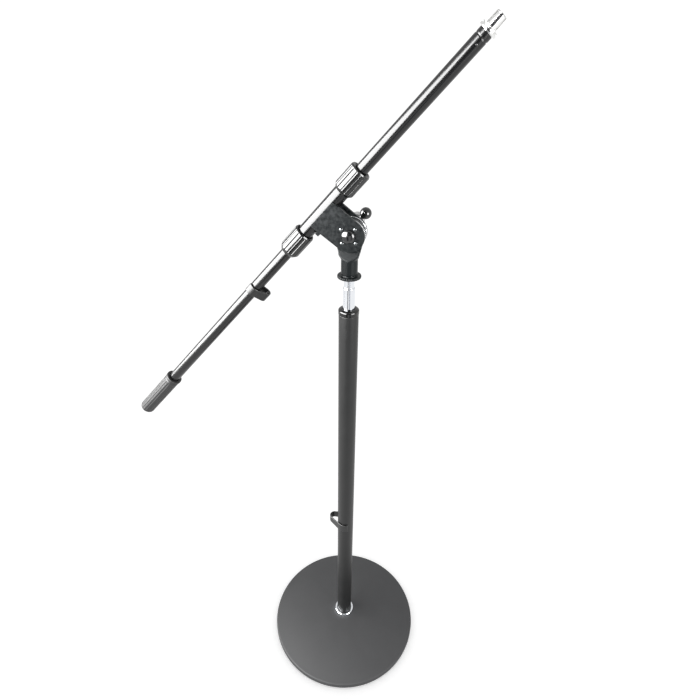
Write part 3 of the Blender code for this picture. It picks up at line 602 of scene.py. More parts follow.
def scatter_tree() -> bpy.types.NodeTree:
    """One small part set on every point, turned to the point's facing.

    Returns:
        A tree with the part, its scale, the spread of its scale and a seed.
    """
    part = PartTree("set on points", {"Part": "Object", "Scale": "Float", "Spread": "Float", "Seed": "Int"})
    wire = part.wire
    facing = wire.node("GeometryNodeInputNamedAttribute", {"Name": "facing"}, data_type="FLOAT_VECTOR")
    turned = wire.node("FunctionNodeAlignRotationToVector", {"Vector": facing.outputs[0]}, axis="Z")
    info = wire.node("GeometryNodeObjectInfo", {"Object": part.given["Part"]})
    size = wire.node("FunctionNodeRandomValue", {
        2: wire.math("SUBTRACT", part.given["Scale"], part.given["Spread"]),
        3: wire.math("ADD", part.given["Scale"], part.given["Spread"]), "Seed": part.given["Seed"],
    }, data_type="FLOAT")
    placed = wire.node("GeometryNodeInstanceOnPoints", {
        "Points": part.given["Geometry"], "Instance": info.outputs["Geometry"],
        "Rotation": turned.outputs[0], "Scale": size.outputs[1],
    })
    return part.close(placed.outputs[0])


@dataclass(frozen=True)
class PartTrees:
    """The node trees that make what repeats."""

    flutes: bpy.types.NodeTree
    thread: bpy.types.NodeTree
    scatter: bpy.types.NodeTree

    @classmethod
    def made(cls) -> PartTrees:
        """Builds each tree once."""
        return cls(flute_tree(), thread_tree(), scatter_tree())


# ---------------------------------------------------------------- outlines and solids


def arc(centre: Point, radius: float, start: float, end: float, steps: int) -> list[Point]:
    """Points on an arc in the plane.

    Args:
        centre: The arc's centre.
        radius: Its radius.
        start: The angle it starts at.
        end: The angle it ends at.
        steps: How many pieces it is cut into.

    Returns:
        The points, both ends included.
    """
    points = []
    for i in range(steps + 1):
        angle = math.radians(start + (end - start) * i / steps)
        points.append((centre[0] + radius * math.cos(angle), centre[1] + radius * math.sin(angle)))
    return points


def rounded(corners: Sequence[Corner], steps: int = 4) -> list[Point]:
    """An outline with its corners rounded.

    Args:
        corners: Points with the radius that each is rounded by, 0 for a sharp one.
        steps: How many pieces each round has.

    Returns:
        The outline's points.
    """
    points: list[Point] = []
    for index, (x, y, fillet) in enumerate(corners):
        if fillet <= 0.0:
            points.append((x, y))
            continue
        corner = Vector((x, y))
        before = Vector(corners[index - 1][:2]) - corner
        after = Vector(corners[(index + 1) % len(corners)][:2]) - corner
        half = before.angle(after) / 2.0
        run = min(fillet / math.tan(half), 0.49 * min(before.length, after.length))
        first, last = before.normalized() * run, after.normalized() * run
        middle = (before.normalized() + after.normalized()).normalized() * run / math.cos(half)
        from_middle, to_middle = first - middle, last - middle
        sweep = math.atan2(from_middle.cross(to_middle), from_middle.dot(to_middle))
        for step in range(steps + 1):
            turn = Matrix.Rotation(sweep * step / steps, 2)
            points.append(tuple(corner + middle + turn @ from_middle))
    return points


def refined(profile: Sequence[Point], longest: float, low: float, high: float) -> list[Point]:
    """A profile with more points along its stretches between two heights.

    Args:
        profile: Points of radius and height.
        longest: The longest step to leave.
        low: The lower height.
        high: The upper height.

    Returns:
        The profile with the points added.
    """
    points: list[Point] = []
    for (r0, z0), (r1, z1) in zip(profile, profile[1:]):
        points.append((r0, z0))
        if min(z0, z1) >= low - TINY and max(z0, z1) <= high + TINY:
            count = math.ceil(math.hypot(r1 - r0, z1 - z0) / longest)
            points += [(r0 + (r1 - r0) * i / count, z0 + (z1 - z0) * i / count) for i in range(1, count)]
    return points + [profile[-1]]


def band_mask(low: float, high: float, fade: float, least_radius: float) -> Callable[[float, float], float]:
    """A mask for flutes or a thread that fades at both ends.

    Args:
        low: Where the worked stretch starts.
        high: Where it ends.
        fade: How long it takes to come to its full depth.
        least_radius: Points nearer the axis than this are left alone.

    Returns:
        A function from radius and height to the share of the full depth.
    """
    def share(radius: float, height: float) -> float:
        """The share of the full depth at a point of the profile.

        Args:
            radius: The point's distance from the axis.
            height: Its height.

        Returns:
            The share, from 0 to 1.
        """
        if radius < least_radius:
            return 0.0
        edge = min(height - low, high - height) / fade
        inside = max(0.0, min(1.0, edge))
        return inside * inside * (3.0 - 2.0 * inside)

    return share


def lathe(profile: Sequence[Point], steps: Steps,
          worked: Callable[[float, float], float] | None = None) -> bmesh.types.BMesh:
    """Turns a profile about Z.

    Args:
        profile: Points of radius and height. One that starts and ends on the axis is closed there,
            and any other is a closed ring.
        steps: How many sides the shape has.
        worked: The share of a flute's or a thread's depth at a point of the profile.

    Returns:
        The closed shape.
    """
    shape = bmesh.new()
    layer = shape.verts.layers.float.new("worked")
    rings = []
    for radius, height in profile:
        ring = []
        for i in range(1 if radius < TINY else steps.value):
            angle = math.tau * i / steps.value
            vert = shape.verts.new((radius * math.cos(angle), radius * math.sin(angle), height))
            vert[layer] = worked(radius, height) if worked else 0.0
            ring.append(vert)
        rings.append(ring)
    pairs = list(zip(rings, rings[1:]))
    if profile[0][0] > TINY:
        pairs.append((rings[-1], rings[0]))
    for low, high in pairs:
        for i in range(steps.value):
            j = (i + 1) % steps.value
            corners = (low[i % len(low)], low[j % len(low)], high[j % len(high)], high[i % len(high)])
            shape.faces.new(list(dict.fromkeys(corners)))
    return shape


def slab(outline: Sequence[Point], low: float, high: float) -> bmesh.types.BMesh:
    """Raises an outline from one height to another.

    Args:
        outline: The outline's points.
        low: The lower face's height.
        high: The upper face's height.

    Returns:
        The closed shape.
    """
    shape = bmesh.new()
    bottom = [shape.verts.new((x, y, low)) for x, y in outline]
    top = [shape.verts.new((x, y, high)) for x, y in outline]
    shape.faces.new(bottom)
    shape.faces.new(top)
    for i in range(len(outline)):
        shape.faces.new((bottom[i - 1], bottom[i], top[i], top[i - 1]))
    return shape


def dome(radius: float, low: float, high: float, angles: range) -> list[Point]:
    """A dome's profile, from near its rim towards its top.

    Args:
        radius: The rim's radius.
        low: The rim's height.
        high: The top's height.
        angles: The angles above the rim that its points lie at, in degrees.

    Returns:
        Points of radius and height.
    """
    return [(radius * math.cos(math.radians(angle)), low + (high - low) * math.sin(math.radians(angle)))
            for angle in angles]


def settle(shape: bmesh.types.BMesh) -> None:
    """Merges what lies on the same spot and turns the faces outwards."""
    bmesh.ops.remove_doubles(shape, verts=shape.verts, dist=SAME_SPOT)
    bmesh.ops.recalc_face_normals(shape, faces=shape.faces)


class Solid:
    """A shape under construction, in millimetres and in its own axes."""

    def __init__(self, shape: bmesh.types.BMesh) -> None:
        """Takes a shape over and closes it up.

        Args:
            shape: The shape, which is used up.
        """
        settle(shape)
        self.mesh = bpy.data.meshes.new("solid")
        shape.to_mesh(self.mesh)
        shape.free()

    def _held(self, mesh: bpy.types.Mesh) -> bpy.types.Object:
        """A scene object that holds a mesh while modifiers work on it.

        Args:
            mesh: The mesh.

        Returns:
            The object, linked to the scene.
        """
        holder = bpy.data.objects.new("holder", mesh)
        bpy.context.scene.collection.objects.link(holder)
        return holder

    def _evaluated(self, holder: bpy.types.Object) -> None:
        """Keeps what the holder's modifiers make, and removes the holder.

        Args:
            holder: The object that holds this solid's mesh.
        """
        graph = bpy.context.evaluated_depsgraph_get()
        made = bpy.data.meshes.new_from_object(holder.evaluated_get(graph), depsgraph=graph)
        holder.modifiers.clear()
        bpy.data.objects.remove(holder)
        bpy.data.meshes.remove(self.mesh)
        self.mesh = made

    def joined(self, tool: Solid, joining: Joining) -> Solid:
        """Cuts, trims or welds with another solid, which is used up.

        Args:
            tool: The other solid.
            joining: How the two are joined.

        Returns:
            This solid.
        """
        holder, other = self._held(self.mesh), self._held(tool.mesh)
        modifier = holder.modifiers.new("Join", "BOOLEAN")
        modifier.operation = joining.value
        modifier.solver = "EXACT"
        modifier.object = other
        self._evaluated(holder)
        bpy.data.objects.remove(other)
        return self

    def bevelled(self, width: float, steps: int = 3) -> Solid:
        """Rounds the sharp edges.

        Args:
            width: The round's width.
            steps: How many pieces it has.

        Returns:
            This solid.
        """
        holder = self._held(self.mesh)
        modifier = holder.modifiers.new("Round", "BEVEL")
        modifier.width = width
        modifier.segments = steps
        modifier.limit_method = "ANGLE"
        modifier.angle_limit = math.radians(SHARP_EDGE)
        self._evaluated(holder)
        return self

    def cast(self, voxel: float, passes: int) -> Solid:
        """Gives the soft edges of a casting.

        Args:
            voxel: How fine the casting is.
            passes: How often it is smoothed.

        Returns:
            This solid.
        """
        holder = self._held(self.mesh)
        remesh = holder.modifiers.new("Remesh", "REMESH")
        remesh.mode = "VOXEL"
        remesh.voxel_size = voxel
        smooth = holder.modifiers.new("Smooth", "SMOOTH")
        smooth.iterations = passes
        self._evaluated(holder)
        return self

    def grown(self, tree: bpy.types.NodeTree, finish: bpy.types.Material,
              values: dict[str, object]) -> Solid:
        """Runs a geometry node tree on the shape.

        Args:
            tree: The tree.
            finish: The material that it sets.
            values: Its other inputs by name.

        Returns:
            This solid.
        """
        holder = self._held(self.mesh)
        modifier = holder.modifiers.new("Grow", "NODES")
        modifier.node_group = tree
        given = {**values, "Finish": finish}
        for item in tree.interface.items_tree:
            if item.in_out == "INPUT" and item.name in given:
                modifier[item.identifier] = given[item.name]
        self._evaluated(holder)
        return self

    def turned_to(self, place: Matrix) -> Solid:
        """Turns and moves the shape within its own axes."""
        self.mesh.transform(place)
        return self


def bar(radius: float, low: float, high: float, steps: Steps = Steps.MEDIUM) -> Solid:
    """A round bar that serves as a cutting tool."""
    return Solid(lathe([(0.0, low), (radius, low), (radius, high), (0.0, high)], steps))


# ---------------------------------------------------------------- the frame and the workshop


class Frame:
    """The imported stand: its box, its joints, and the bodies and slots of its nodes."""

    def __init__(self) -> None:
        """Loads the frame and keeps its box."""
        self.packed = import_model()
        low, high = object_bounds()
        self.box = [list(low), list(high)]
        self.joints = {joint["name"]: joint for joint in self.packed["joints"]}
        self.nodes: dict[str, bpy.types.Object] = self.packed["nodes"]

    @property
    def pivot(self) -> Vector:
        """Where the boom tilts."""
        return Vector(self.joints["boom_tilt"]["pos_m"])

    def tilt_axes(self) -> Matrix:
        """Finds the bracket's own axes.

        Returns:
            Axes at the pivot, Z along the boom and X from the boom to the pivot.
        """
        along = Vector(self.joints["boom_slide"]["axis"]).normalized()
        across = Vector((0.0, 1.0, 0.0)).cross(along)
        turn = Matrix((across, (0.0, 1.0, 0.0), along)).transposed().to_4x4()
        return Matrix.Translation(self.pivot) @ turn

    def boom_distance(self) -> float:
        """How far the boom's axis lies from the pivot, in millimetres."""
        clutch = Vector(self.joints["upper_clutch_turn"]["pos_m"])
        return -(self.tilt_axes().inverted() @ clutch).x / MM

    def boom_axes(self) -> Matrix:
        """Axes on the boom's own line, level with the pivot."""
        return self.tilt_axes() @ Matrix.Translation((-self.boom_distance() * MM, 0.0, 0.0))

    def upright_axes(self) -> Matrix:
        """Axes at the pivot, unturned."""
        return Matrix.Translation(self.pivot)

    def body_of(self, node: str) -> str:
        """The body that a node rides on."""
        return self.nodes[node].parent.name.removeprefix("body:")

    def slot_of(self, node: str) -> str:
        """The material slot of a node."""
        return self.nodes[node].material_slots[0].name.split(".")[0]


class Workshop:
    """Makes the finishes once, and sets finished solids in the frame."""

    def __init__(self, frame: Frame) -> None:
        """Builds the finishes and the node trees.

        Args:
            frame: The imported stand.
        """
        self.frame = frame
        self.trees = PartTrees.made()
        groups = ShaderGroups.made()
        axes = {"mast": Matrix.Identity(4), "boom": frame.boom_axes(),
                "pivot": frame.upright_axes() @ FACING_FRONT}
        self.finishes = {finish.slot: finish.material(groups, axes) for finish in FINISHES}
        self.replaced: set[str] = set()

    def set_in(self, solid: Solid, name: str, place: Matrix, nodes: Sequence[str],
               finish: str | None = None, sharp: float = 30.0) -> bpy.types.Object:
        """Places a solid as a piece that stands for CAD nodes.

        Args:
            solid: The finished solid.
            name: The piece's name.
            place: Its own axes in the frame.
            nodes: The CAD nodes that it replaces.
            finish: Its finish, if not the one that its slot names.
            sharp: The angle above which an edge is drawn sharp.

        Returns:
            The piece.
        """
        mesh = solid.mesh
        mesh.name = name
        mesh.transform(place @ Matrix.Scale(MM, 4))
        slot = self.frame.slot_of(nodes[0])
        mesh.materials.clear()
        mesh.materials.append(self.finishes[finish or slot])
        mesh.polygons.foreach_set("material_index", [0] * len(mesh.polygons))
        mesh.shade_smooth()
        mesh.set_sharp_from_angle(angle=math.radians(sharp))
        piece = bpy.data.objects.new(name, mesh)
        bpy.context.scene.collection.objects.link(piece)
        normals = piece.modifiers.new("Even normals", "WEIGHTED_NORMAL")
        normals.keep_sharp = True
        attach(piece, self.frame.body_of(nodes[0]))
        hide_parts(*nodes)
        self.replaced.update(nodes)
        LOG.info("%s stands for %s, %d faces", name, ", ".join(nodes), len(mesh.polygons))
        return piece

    def dress_rest(self) -> None:
        """Gives every CAD node that is still shown its finish."""
        for node, thing in self.frame.nodes.items():
            if node in self.replaced:
                continue
            slot = self.frame.slot_of(node)
            for place in thing.material_slots:
                place.material = self.finishes[slot]
            LOG.info("%s keeps its own shape, in %s", node, slot)


# ---------------------------------------------------------------- the stand's sub-assemblies


@dataclass
class WeightedBase:
    """The round cast base with its rubber sole and the ring at the mast's foot."""

    shop: Workshop
    radius: float = 127.0
    rim_top: float = 11.8
    crown_top: float = 28.0
    rim_round: float = 3.0
    sole_radius: float = 121.0
    sole_thickness: float = 2.0
    groove_radii: tuple[float, ...] = (34.0, 52.0, 70.0, 88.0, 106.0)
    groove_width: float = 3.0
    groove_depth: float = 0.7
    ring_radius: float = 16.5
    ring_height: float = 4.7
    mast_radius: float = 12.5
    ring_margin: float = 1.5
    wall: float = 8.0
    boss_radius: float = 22.0
    boss_bottom: float = 15.0
    bore_radius: float = 4.6
    hollow_radii: tuple[float, ...] = (24.0, 60.0, 112.0)
    hollow_mouth: float = 116.0
    foot_round: float = 1.2
    rim_sweep: float = 86.0
    crown_steps: int = 20

    def crown(self, radius: float) -> float:
        """The height of the top surface at a radius."""
        reach = self.radius - self.rim_round
        return self.rim_top + (self.crown_top - self.rim_top) * (1.0 - (radius / reach) ** 2)

    def sole(self) -> Solid:
        """A flat sole with ring grooves underneath.

        Returns:
            The sole.
        """
        corners: list[Corner] = [(0.0, 0.0, 0.0)]
        for middle in self.groove_radii:
            near, far = middle - self.groove_width / 2.0, middle + self.groove_width / 2.0
            corners += [(near, 0.0, 0.25), (near, self.groove_depth, 0.25), (far, self.groove_depth, 0.25),
                        (far, 0.0, 0.25)]
        corners += [(self.sole_radius, 0.0, 0.6), (self.sole_radius, self.sole_thickness, 0.3),
                    (0.0, self.sole_thickness, 0.0)]
        return Solid(lathe(rounded(corners, 2), Steps.FINE))

    def casting(self) -> Solid:
        """The domed plate, hollow underneath.

        Returns:
            The plate, with a flat in the middle for the mast's foot.
        """
        bottom = self.sole_thickness + GAP
        reach = self.radius - self.rim_round
        flat = self.ring_radius + self.ring_margin
        rim_start = self.rim_top - self.rim_round
        radii = [flat + (reach - flat) * (1.0 - i / self.crown_steps) for i in range(1, self.crown_steps + 1)]
        top = [(radius, self.crown(radius)) for radius in radii]
        rim = arc((reach, rim_start), self.rim_round, 0.0, self.rim_sweep, 8)
        foot = rounded([(reach, bottom, 0.0), (self.radius, bottom, self.foot_round),
                        (self.radius, rim_start, 0.0)])
        under = [(radius, self.crown(radius) - self.wall) for radius in self.hollow_radii]
        boss = [(self.bore_radius, self.boss_bottom), (self.boss_radius, self.boss_bottom)]
        profile = boss + under + [(self.hollow_mouth, bottom)] + foot[:-1] + rim + top
        return Solid(lathe(profile + [(self.bore_radius, top[-1][1])], Steps.FINE))

    def foot_ring(self) -> Solid:
        """The bright ring that hides the joint of mast and base.

        Returns:
            The ring, its upper edge rounded.
        """
        low = self.crown(self.ring_radius + self.ring_margin) + GAP
        inner, high = self.mast_radius + GAP, low + self.ring_height
        profile = rounded([
            (inner, low, 0.0), (self.ring_radius, low, 0.4), (self.ring_radius, high, 1.9),
            (inner, high, 0.5),
        ], 8)
        return Solid(lathe(profile, Steps.MEDIUM))

    def build(self) -> None:
        """Sets the base's pieces in the frame."""
        origin = Matrix.Identity(4)
        self.shop.set_in(self.sole(), "base_sole", origin, ["rubber_sole"])
        self.shop.set_in(self.casting(), "base_casting", origin, ["base_plate"])
        self.shop.set_in(self.foot_ring(), "mast_foot_ring", origin, ["foot_ring"])


@dataclass
class Mast:
    """The fixed tube and the cap that closes it."""

    shop: Workshop
    radius: float = 12.5
    wall: float = 1.5
    cap_radius: float = 13.0
    cap_rim_radius: float = 9.9
    cap_shoulder: float = 5.6
    cap_round: float = 2.4
    cap_height: float = 7.5
    cap_skirt: float = 25.0
    inner_tube_radius: float = 7.5

    def column(self) -> Solid:
        """The tube, its ends deburred.

        Returns:
            The tube.
        """
        low, high = (corner.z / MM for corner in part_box("mast_tube"))
        inner = self.radius - self.wall
        profile = rounded([(inner, low, 0.4), (self.radius, low, 0.4), (self.radius, high, 0.6),
                           (inner, high, 0.4)])
        return Solid(lathe(profile, Steps.MEDIUM))

    def cap(self) -> Solid:
        """The glossy cap, with a rounded shoulder and a lip round the sliding tube.

        Returns:
            The cap and the skirt that holds it in the mast.
        """
        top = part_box("mast_cap")[1].z / MM
        seat = top - self.cap_height
        bore, skirt = self.inner_tube_radius + GAP, self.radius - self.wall - GAP
        low = seat - self.cap_skirt
        corners = [
            (bore, low, 0.3), (skirt, low, 0.8), (skirt, seat, 0.0), (self.cap_radius, seat, 0.35),
            (self.cap_radius, seat + self.cap_shoulder, self.cap_round),
            (self.cap_rim_radius, top, 1.2), (bore, top, 0.5),
        ]
        return Solid(lathe(rounded(corners, 6), Steps.MEDIUM))

    def build(self) -> None:
        """Sets the mast's pieces in the frame."""
        origin = Matrix.Identity(4)
        self.shop.set_in(self.column(), "mast_column", origin, ["mast_tube"])
        self.shop.set_in(self.cap(), "mast_top_cap", origin, ["mast_cap"])


@dataclass
class CableClip:
    """A springy strap round a tube with a pocket for the cable on one side."""

    shop: Workshop
    node: str
    name: str
    place: Matrix
    band_radius: float
    pocket_radius: float
    pocket_distance: float
    pocket_angle: float
    front_end: float
    rear_end: float
    thickness: float
    height_at_tube: float
    height_at_pocket: float
    mirrored: bool = False
    steps: int = 28
    crossing_steps: int = 6
    end_pinch: float = 0.35
    edge_share: float = 0.42

    def path(self) -> list[tuple[float, float, float]]:
        """The strap's middle line.

        Returns:
            Points with how far each is into the pocket, from 0 to 1.
        """
        turn = math.radians(self.pocket_angle)
        centre = (self.pocket_distance * math.cos(turn), self.pocket_distance * math.sin(turn))
        spread = math.degrees(math.acos((self.band_radius - self.pocket_radius) / self.pocket_distance))
        front, rear = self.pocket_angle + spread, self.pocket_angle - spread
        tube = (0.0, 0.0)
        first = arc(tube, self.band_radius, self.front_end, front, self.steps)
        pocket = arc(centre, self.pocket_radius, front, rear, self.steps)
        last = arc(tube, self.band_radius, rear, self.rear_end, self.steps)
        side = -1.0 if self.mirrored else 1.0
        points = [(x, y * side, 0.0) for x, y in first]
        points += self._crossing(first[-1], pocket[0], side, 0.0, 1.0)
        points += [(x, y * side, 1.0) for x, y in pocket]
        points += self._crossing(pocket[-1], last[0], side, 1.0, 0.0)
        return points + [(x, y * side, 0.0) for x, y in last]

    def _crossing(self, start: Point, end: Point, side: float, first: float,
                  last: float) -> list[tuple[float, float, float]]:
        """The straight stretch between the tube and the pocket.

        Args:
            start: Where it leaves one arc.
            end: Where it meets the other.
            side: 1 as drawn, -1 mirrored.
            first: How far into the pocket it starts.
            last: How far into the pocket it ends.

        Returns:
            The points between the two, ends left out.
        """
        points = []
        for i in range(1, self.crossing_steps):
            share = i / self.crossing_steps
            x = start[0] + (end[0] - start[0]) * share
            y = start[1] + (end[1] - start[1]) * share
            eased = share * share * (3.0 - 2.0 * share)
            points.append((x, y * side, first + (last - first) * eased))
        return points

    def strap(self) -> Solid:
        """The strap, its edges rounded and its ends drawn in and closed.

        Returns:
            The strap in its tube's axes.
        """
        path = self.path()
        taller = self.height_at_pocket - self.height_at_tube
        edge = self.thickness * self.edge_share
        shape = bmesh.new()
        rings = []
        for i, (x, y, depth) in enumerate(path):
            before, after = path[max(i - 1, 0)], path[min(i + 1, len(path) - 1)]
            along = Vector((after[0] - before[0], after[1] - before[1])).normalized()
            side = Vector((-along.y, along.x))
            from_end = min(i, len(path) - 1 - i)
            pinch = 1.0 - self.end_pinch * max(0.0, 1.0 - from_end / 2.0)
            half = (self.height_at_tube + taller * depth) / 2.0 * (0.9 + 0.1 * pinch)
            thick = self.thickness / 2.0 * pinch
            outline = rounded([(-thick, -half, edge), (thick, -half, edge), (thick, half, edge),
                               (-thick, half, edge)], 3)
            rings.append([shape.verts.new((x + side.x * across, y + side.y * across, up))
                          for across, up in outline])
        for low, high in zip(rings, rings[1:]):
            for i in range(len(low)):
                shape.faces.new((low[i - 1], low[i], high[i], high[i - 1]))
        shape.faces.new(rings[0])
        shape.faces.new(rings[-1])
        return Solid(shape)

    def build(self) -> None:
        """Sets the clip in the frame."""
        self.shop.set_in(self.strap(), self.name, self.place, [self.node])


@dataclass
class SlidingTube:
    """The chromed tube in the mast, threaded at its neck."""

    shop: Workshop
    radius: float = 7.5
    wall: float = 1.2
    neck_radius: float = 6.5
    neck_start: float = 690.0
    neck_bore: float = 5.0
    neck_step: float = 1.2
    thread_pitch: float = 1.25
    thread_depth: float = 0.7

    def tube(self) -> Solid:
        """The tube, with its neck turned down and threaded.

        Returns:
            The tube at its own height.
        """
        low, top = (corner.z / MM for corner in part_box("inner_tube"))
        inner, neck = self.radius - self.wall, self.neck_start
        profile = rounded([
            (inner, low, 0.3), (self.radius, low, 0.5), (self.radius, neck, 0.6),
            (self.neck_radius, neck + self.neck_step, 0.2), (self.neck_radius, top, 0.6),
            (self.neck_bore, top, 0.3), (self.neck_bore, neck - 6.0, 0.2), (inner, neck - 8.0, 0.2),
        ])
        profile = refined(profile, self.thread_pitch / 8.0, self.neck_start + 1.4, top)
        mask = band_mask(self.neck_start + 1.5, top, 1.5, self.neck_radius - 0.3)
        solid = Solid(lathe(profile, Steps.MEDIUM, mask))
        return solid.grown(self.shop.trees.thread, self.shop.finishes["chrome_plate"], {
            "Pitch": self.thread_pitch, "Depth": self.thread_depth,
        })

    def build(self) -> None:
        """Sets the tube in the frame."""
        self.shop.set_in(self.tube(), "sliding_tube", Matrix.Identity(4), ["inner_tube"])


@dataclass
class LockRing:
    """The thin ring nut under the head."""

    shop: Workshop
    radius: float = 14.35
    hub_radius: float = 10.0
    flange: float = 3.0
    bore: float = 6.8
    notches: int = 30
    notch_depth: float = 0.5

    def ring(self) -> Solid:
        """The ring, notched round its rim.

        Returns:
            The ring at its own height.
        """
        low, high = (corner.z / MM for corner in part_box("lock_ring"))
        shoulder = low + self.flange
        profile = rounded([
            (self.bore, low, 0.4), (self.radius, low, 0.8), (self.radius, shoulder, 0.8),
            (self.hub_radius, shoulder, 0.2), (self.hub_radius, high, 0.3), (self.bore, high, 0.2),
        ])
        profile = refined(profile, 0.6, low, shoulder)
        mask = band_mask(low - 1.0, shoulder + 1.0, 1.0, self.radius - 1.0)
        solid = Solid(lathe(profile, Steps.FINE, mask))
        return solid.grown(self.shop.trees.flutes, self.shop.finishes["bracket_paint"], {
            "Count": float(self.notches), "Depth": self.notch_depth, "Narrowness": 3.0, "Turn": 0.0,
        })

    def build(self) -> None:
        """Sets the ring in the frame."""
        self.shop.set_in(self.ring(), "lock_ring_nut", Matrix.Identity(4), ["lock_ring"])


@dataclass
class SwivelHead:
    """The cast head: a round socket that flares up into a flat tongue."""

    shop: Workshop
    neck_radius: float = 10.0
    bore: float = 6.8
    socket_depth: float = 14.2
    low: float = -48.2
    flare: float = -29.9
    flare_slope: float = 0.62
    flat: float = -18.5
    tongue_radius: float = 17.4
    half_thickness: float = 4.6
    pivot_hole: float = 4.4
    trim: float = 0.3
    voxel: float = 0.45
    softening: int = 7

    def body(self) -> Solid:
        """The neck and its flare, before it is trimmed to a tongue.

        Returns:
            The rough shape.
        """
        crest = self.tongue_radius + 3.0
        wide = self.neck_radius + (crest - self.flare) * self.flare_slope
        return Solid(lathe([(0.0, self.low), (self.neck_radius, self.low), (self.neck_radius, self.flare),
                            (wide, crest), (0.0, crest)], Steps.MEDIUM))

    def front_outline(self) -> list[Point]:
        """The tongue's round top, with straight sides drawn in to the neck.

        Returns:
            The outline seen from the front.
        """
        width, below = self.neck_radius + self.trim, self.flare - 0.4
        lean = math.degrees(math.atan2(below, width))
        start = lean + math.degrees(math.acos(self.tongue_radius / math.hypot(width, below)))
        round_top = arc((0.0, 0.0), self.tongue_radius, start, 180.0 - start, 72)
        foot = self.low - 1.0
        return round_top + [(-width, below), (-width, foot), (width, foot), (width, below)]

    def side_outline(self) -> list[Point]:
        """The neck's full depth, sloping in to the tongue's two flat faces.

        Returns:
            The outline seen from the side.
        """
        width, top = self.neck_radius + self.trim, self.tongue_radius + 6.0
        near = [(width, self.low - 1.0), (width, self.flare - 0.8), (self.half_thickness, self.flat),
                (self.half_thickness, top)]
        return near + [(-x, y) for x, y in reversed(near)]

    def casting(self) -> Solid:
        """The head as cast, with its pivot hole and its socket bored.

        Returns:
            The head in axes at the pivot.
        """
        reach = self.tongue_radius + 12.0
        facing_side = Matrix.Rotation(math.radians(90.0), 4, "Z") @ FACING_FRONT
        solid = self.body()
        for outline, turn in ((self.front_outline(), FACING_FRONT), (self.side_outline(), facing_side)):
            solid.joined(Solid(slab(outline, -reach, reach)).turned_to(turn), Joining.TRIM)
        solid.cast(self.voxel, self.softening)
        solid.joined(bar(self.pivot_hole, -reach, reach).turned_to(FACING_FRONT), Joining.CUT)
        return solid.joined(bar(self.bore, self.low - 2.0, self.low + self.socket_depth), Joining.CUT)

    def build(self) -> None:
        """Sets the head in the frame."""
        place = self.shop.frame.upright_axes()
        self.shop.set_in(self.casting(), "swivel_casting", place, ["swivel_head"], sharp=50.0)


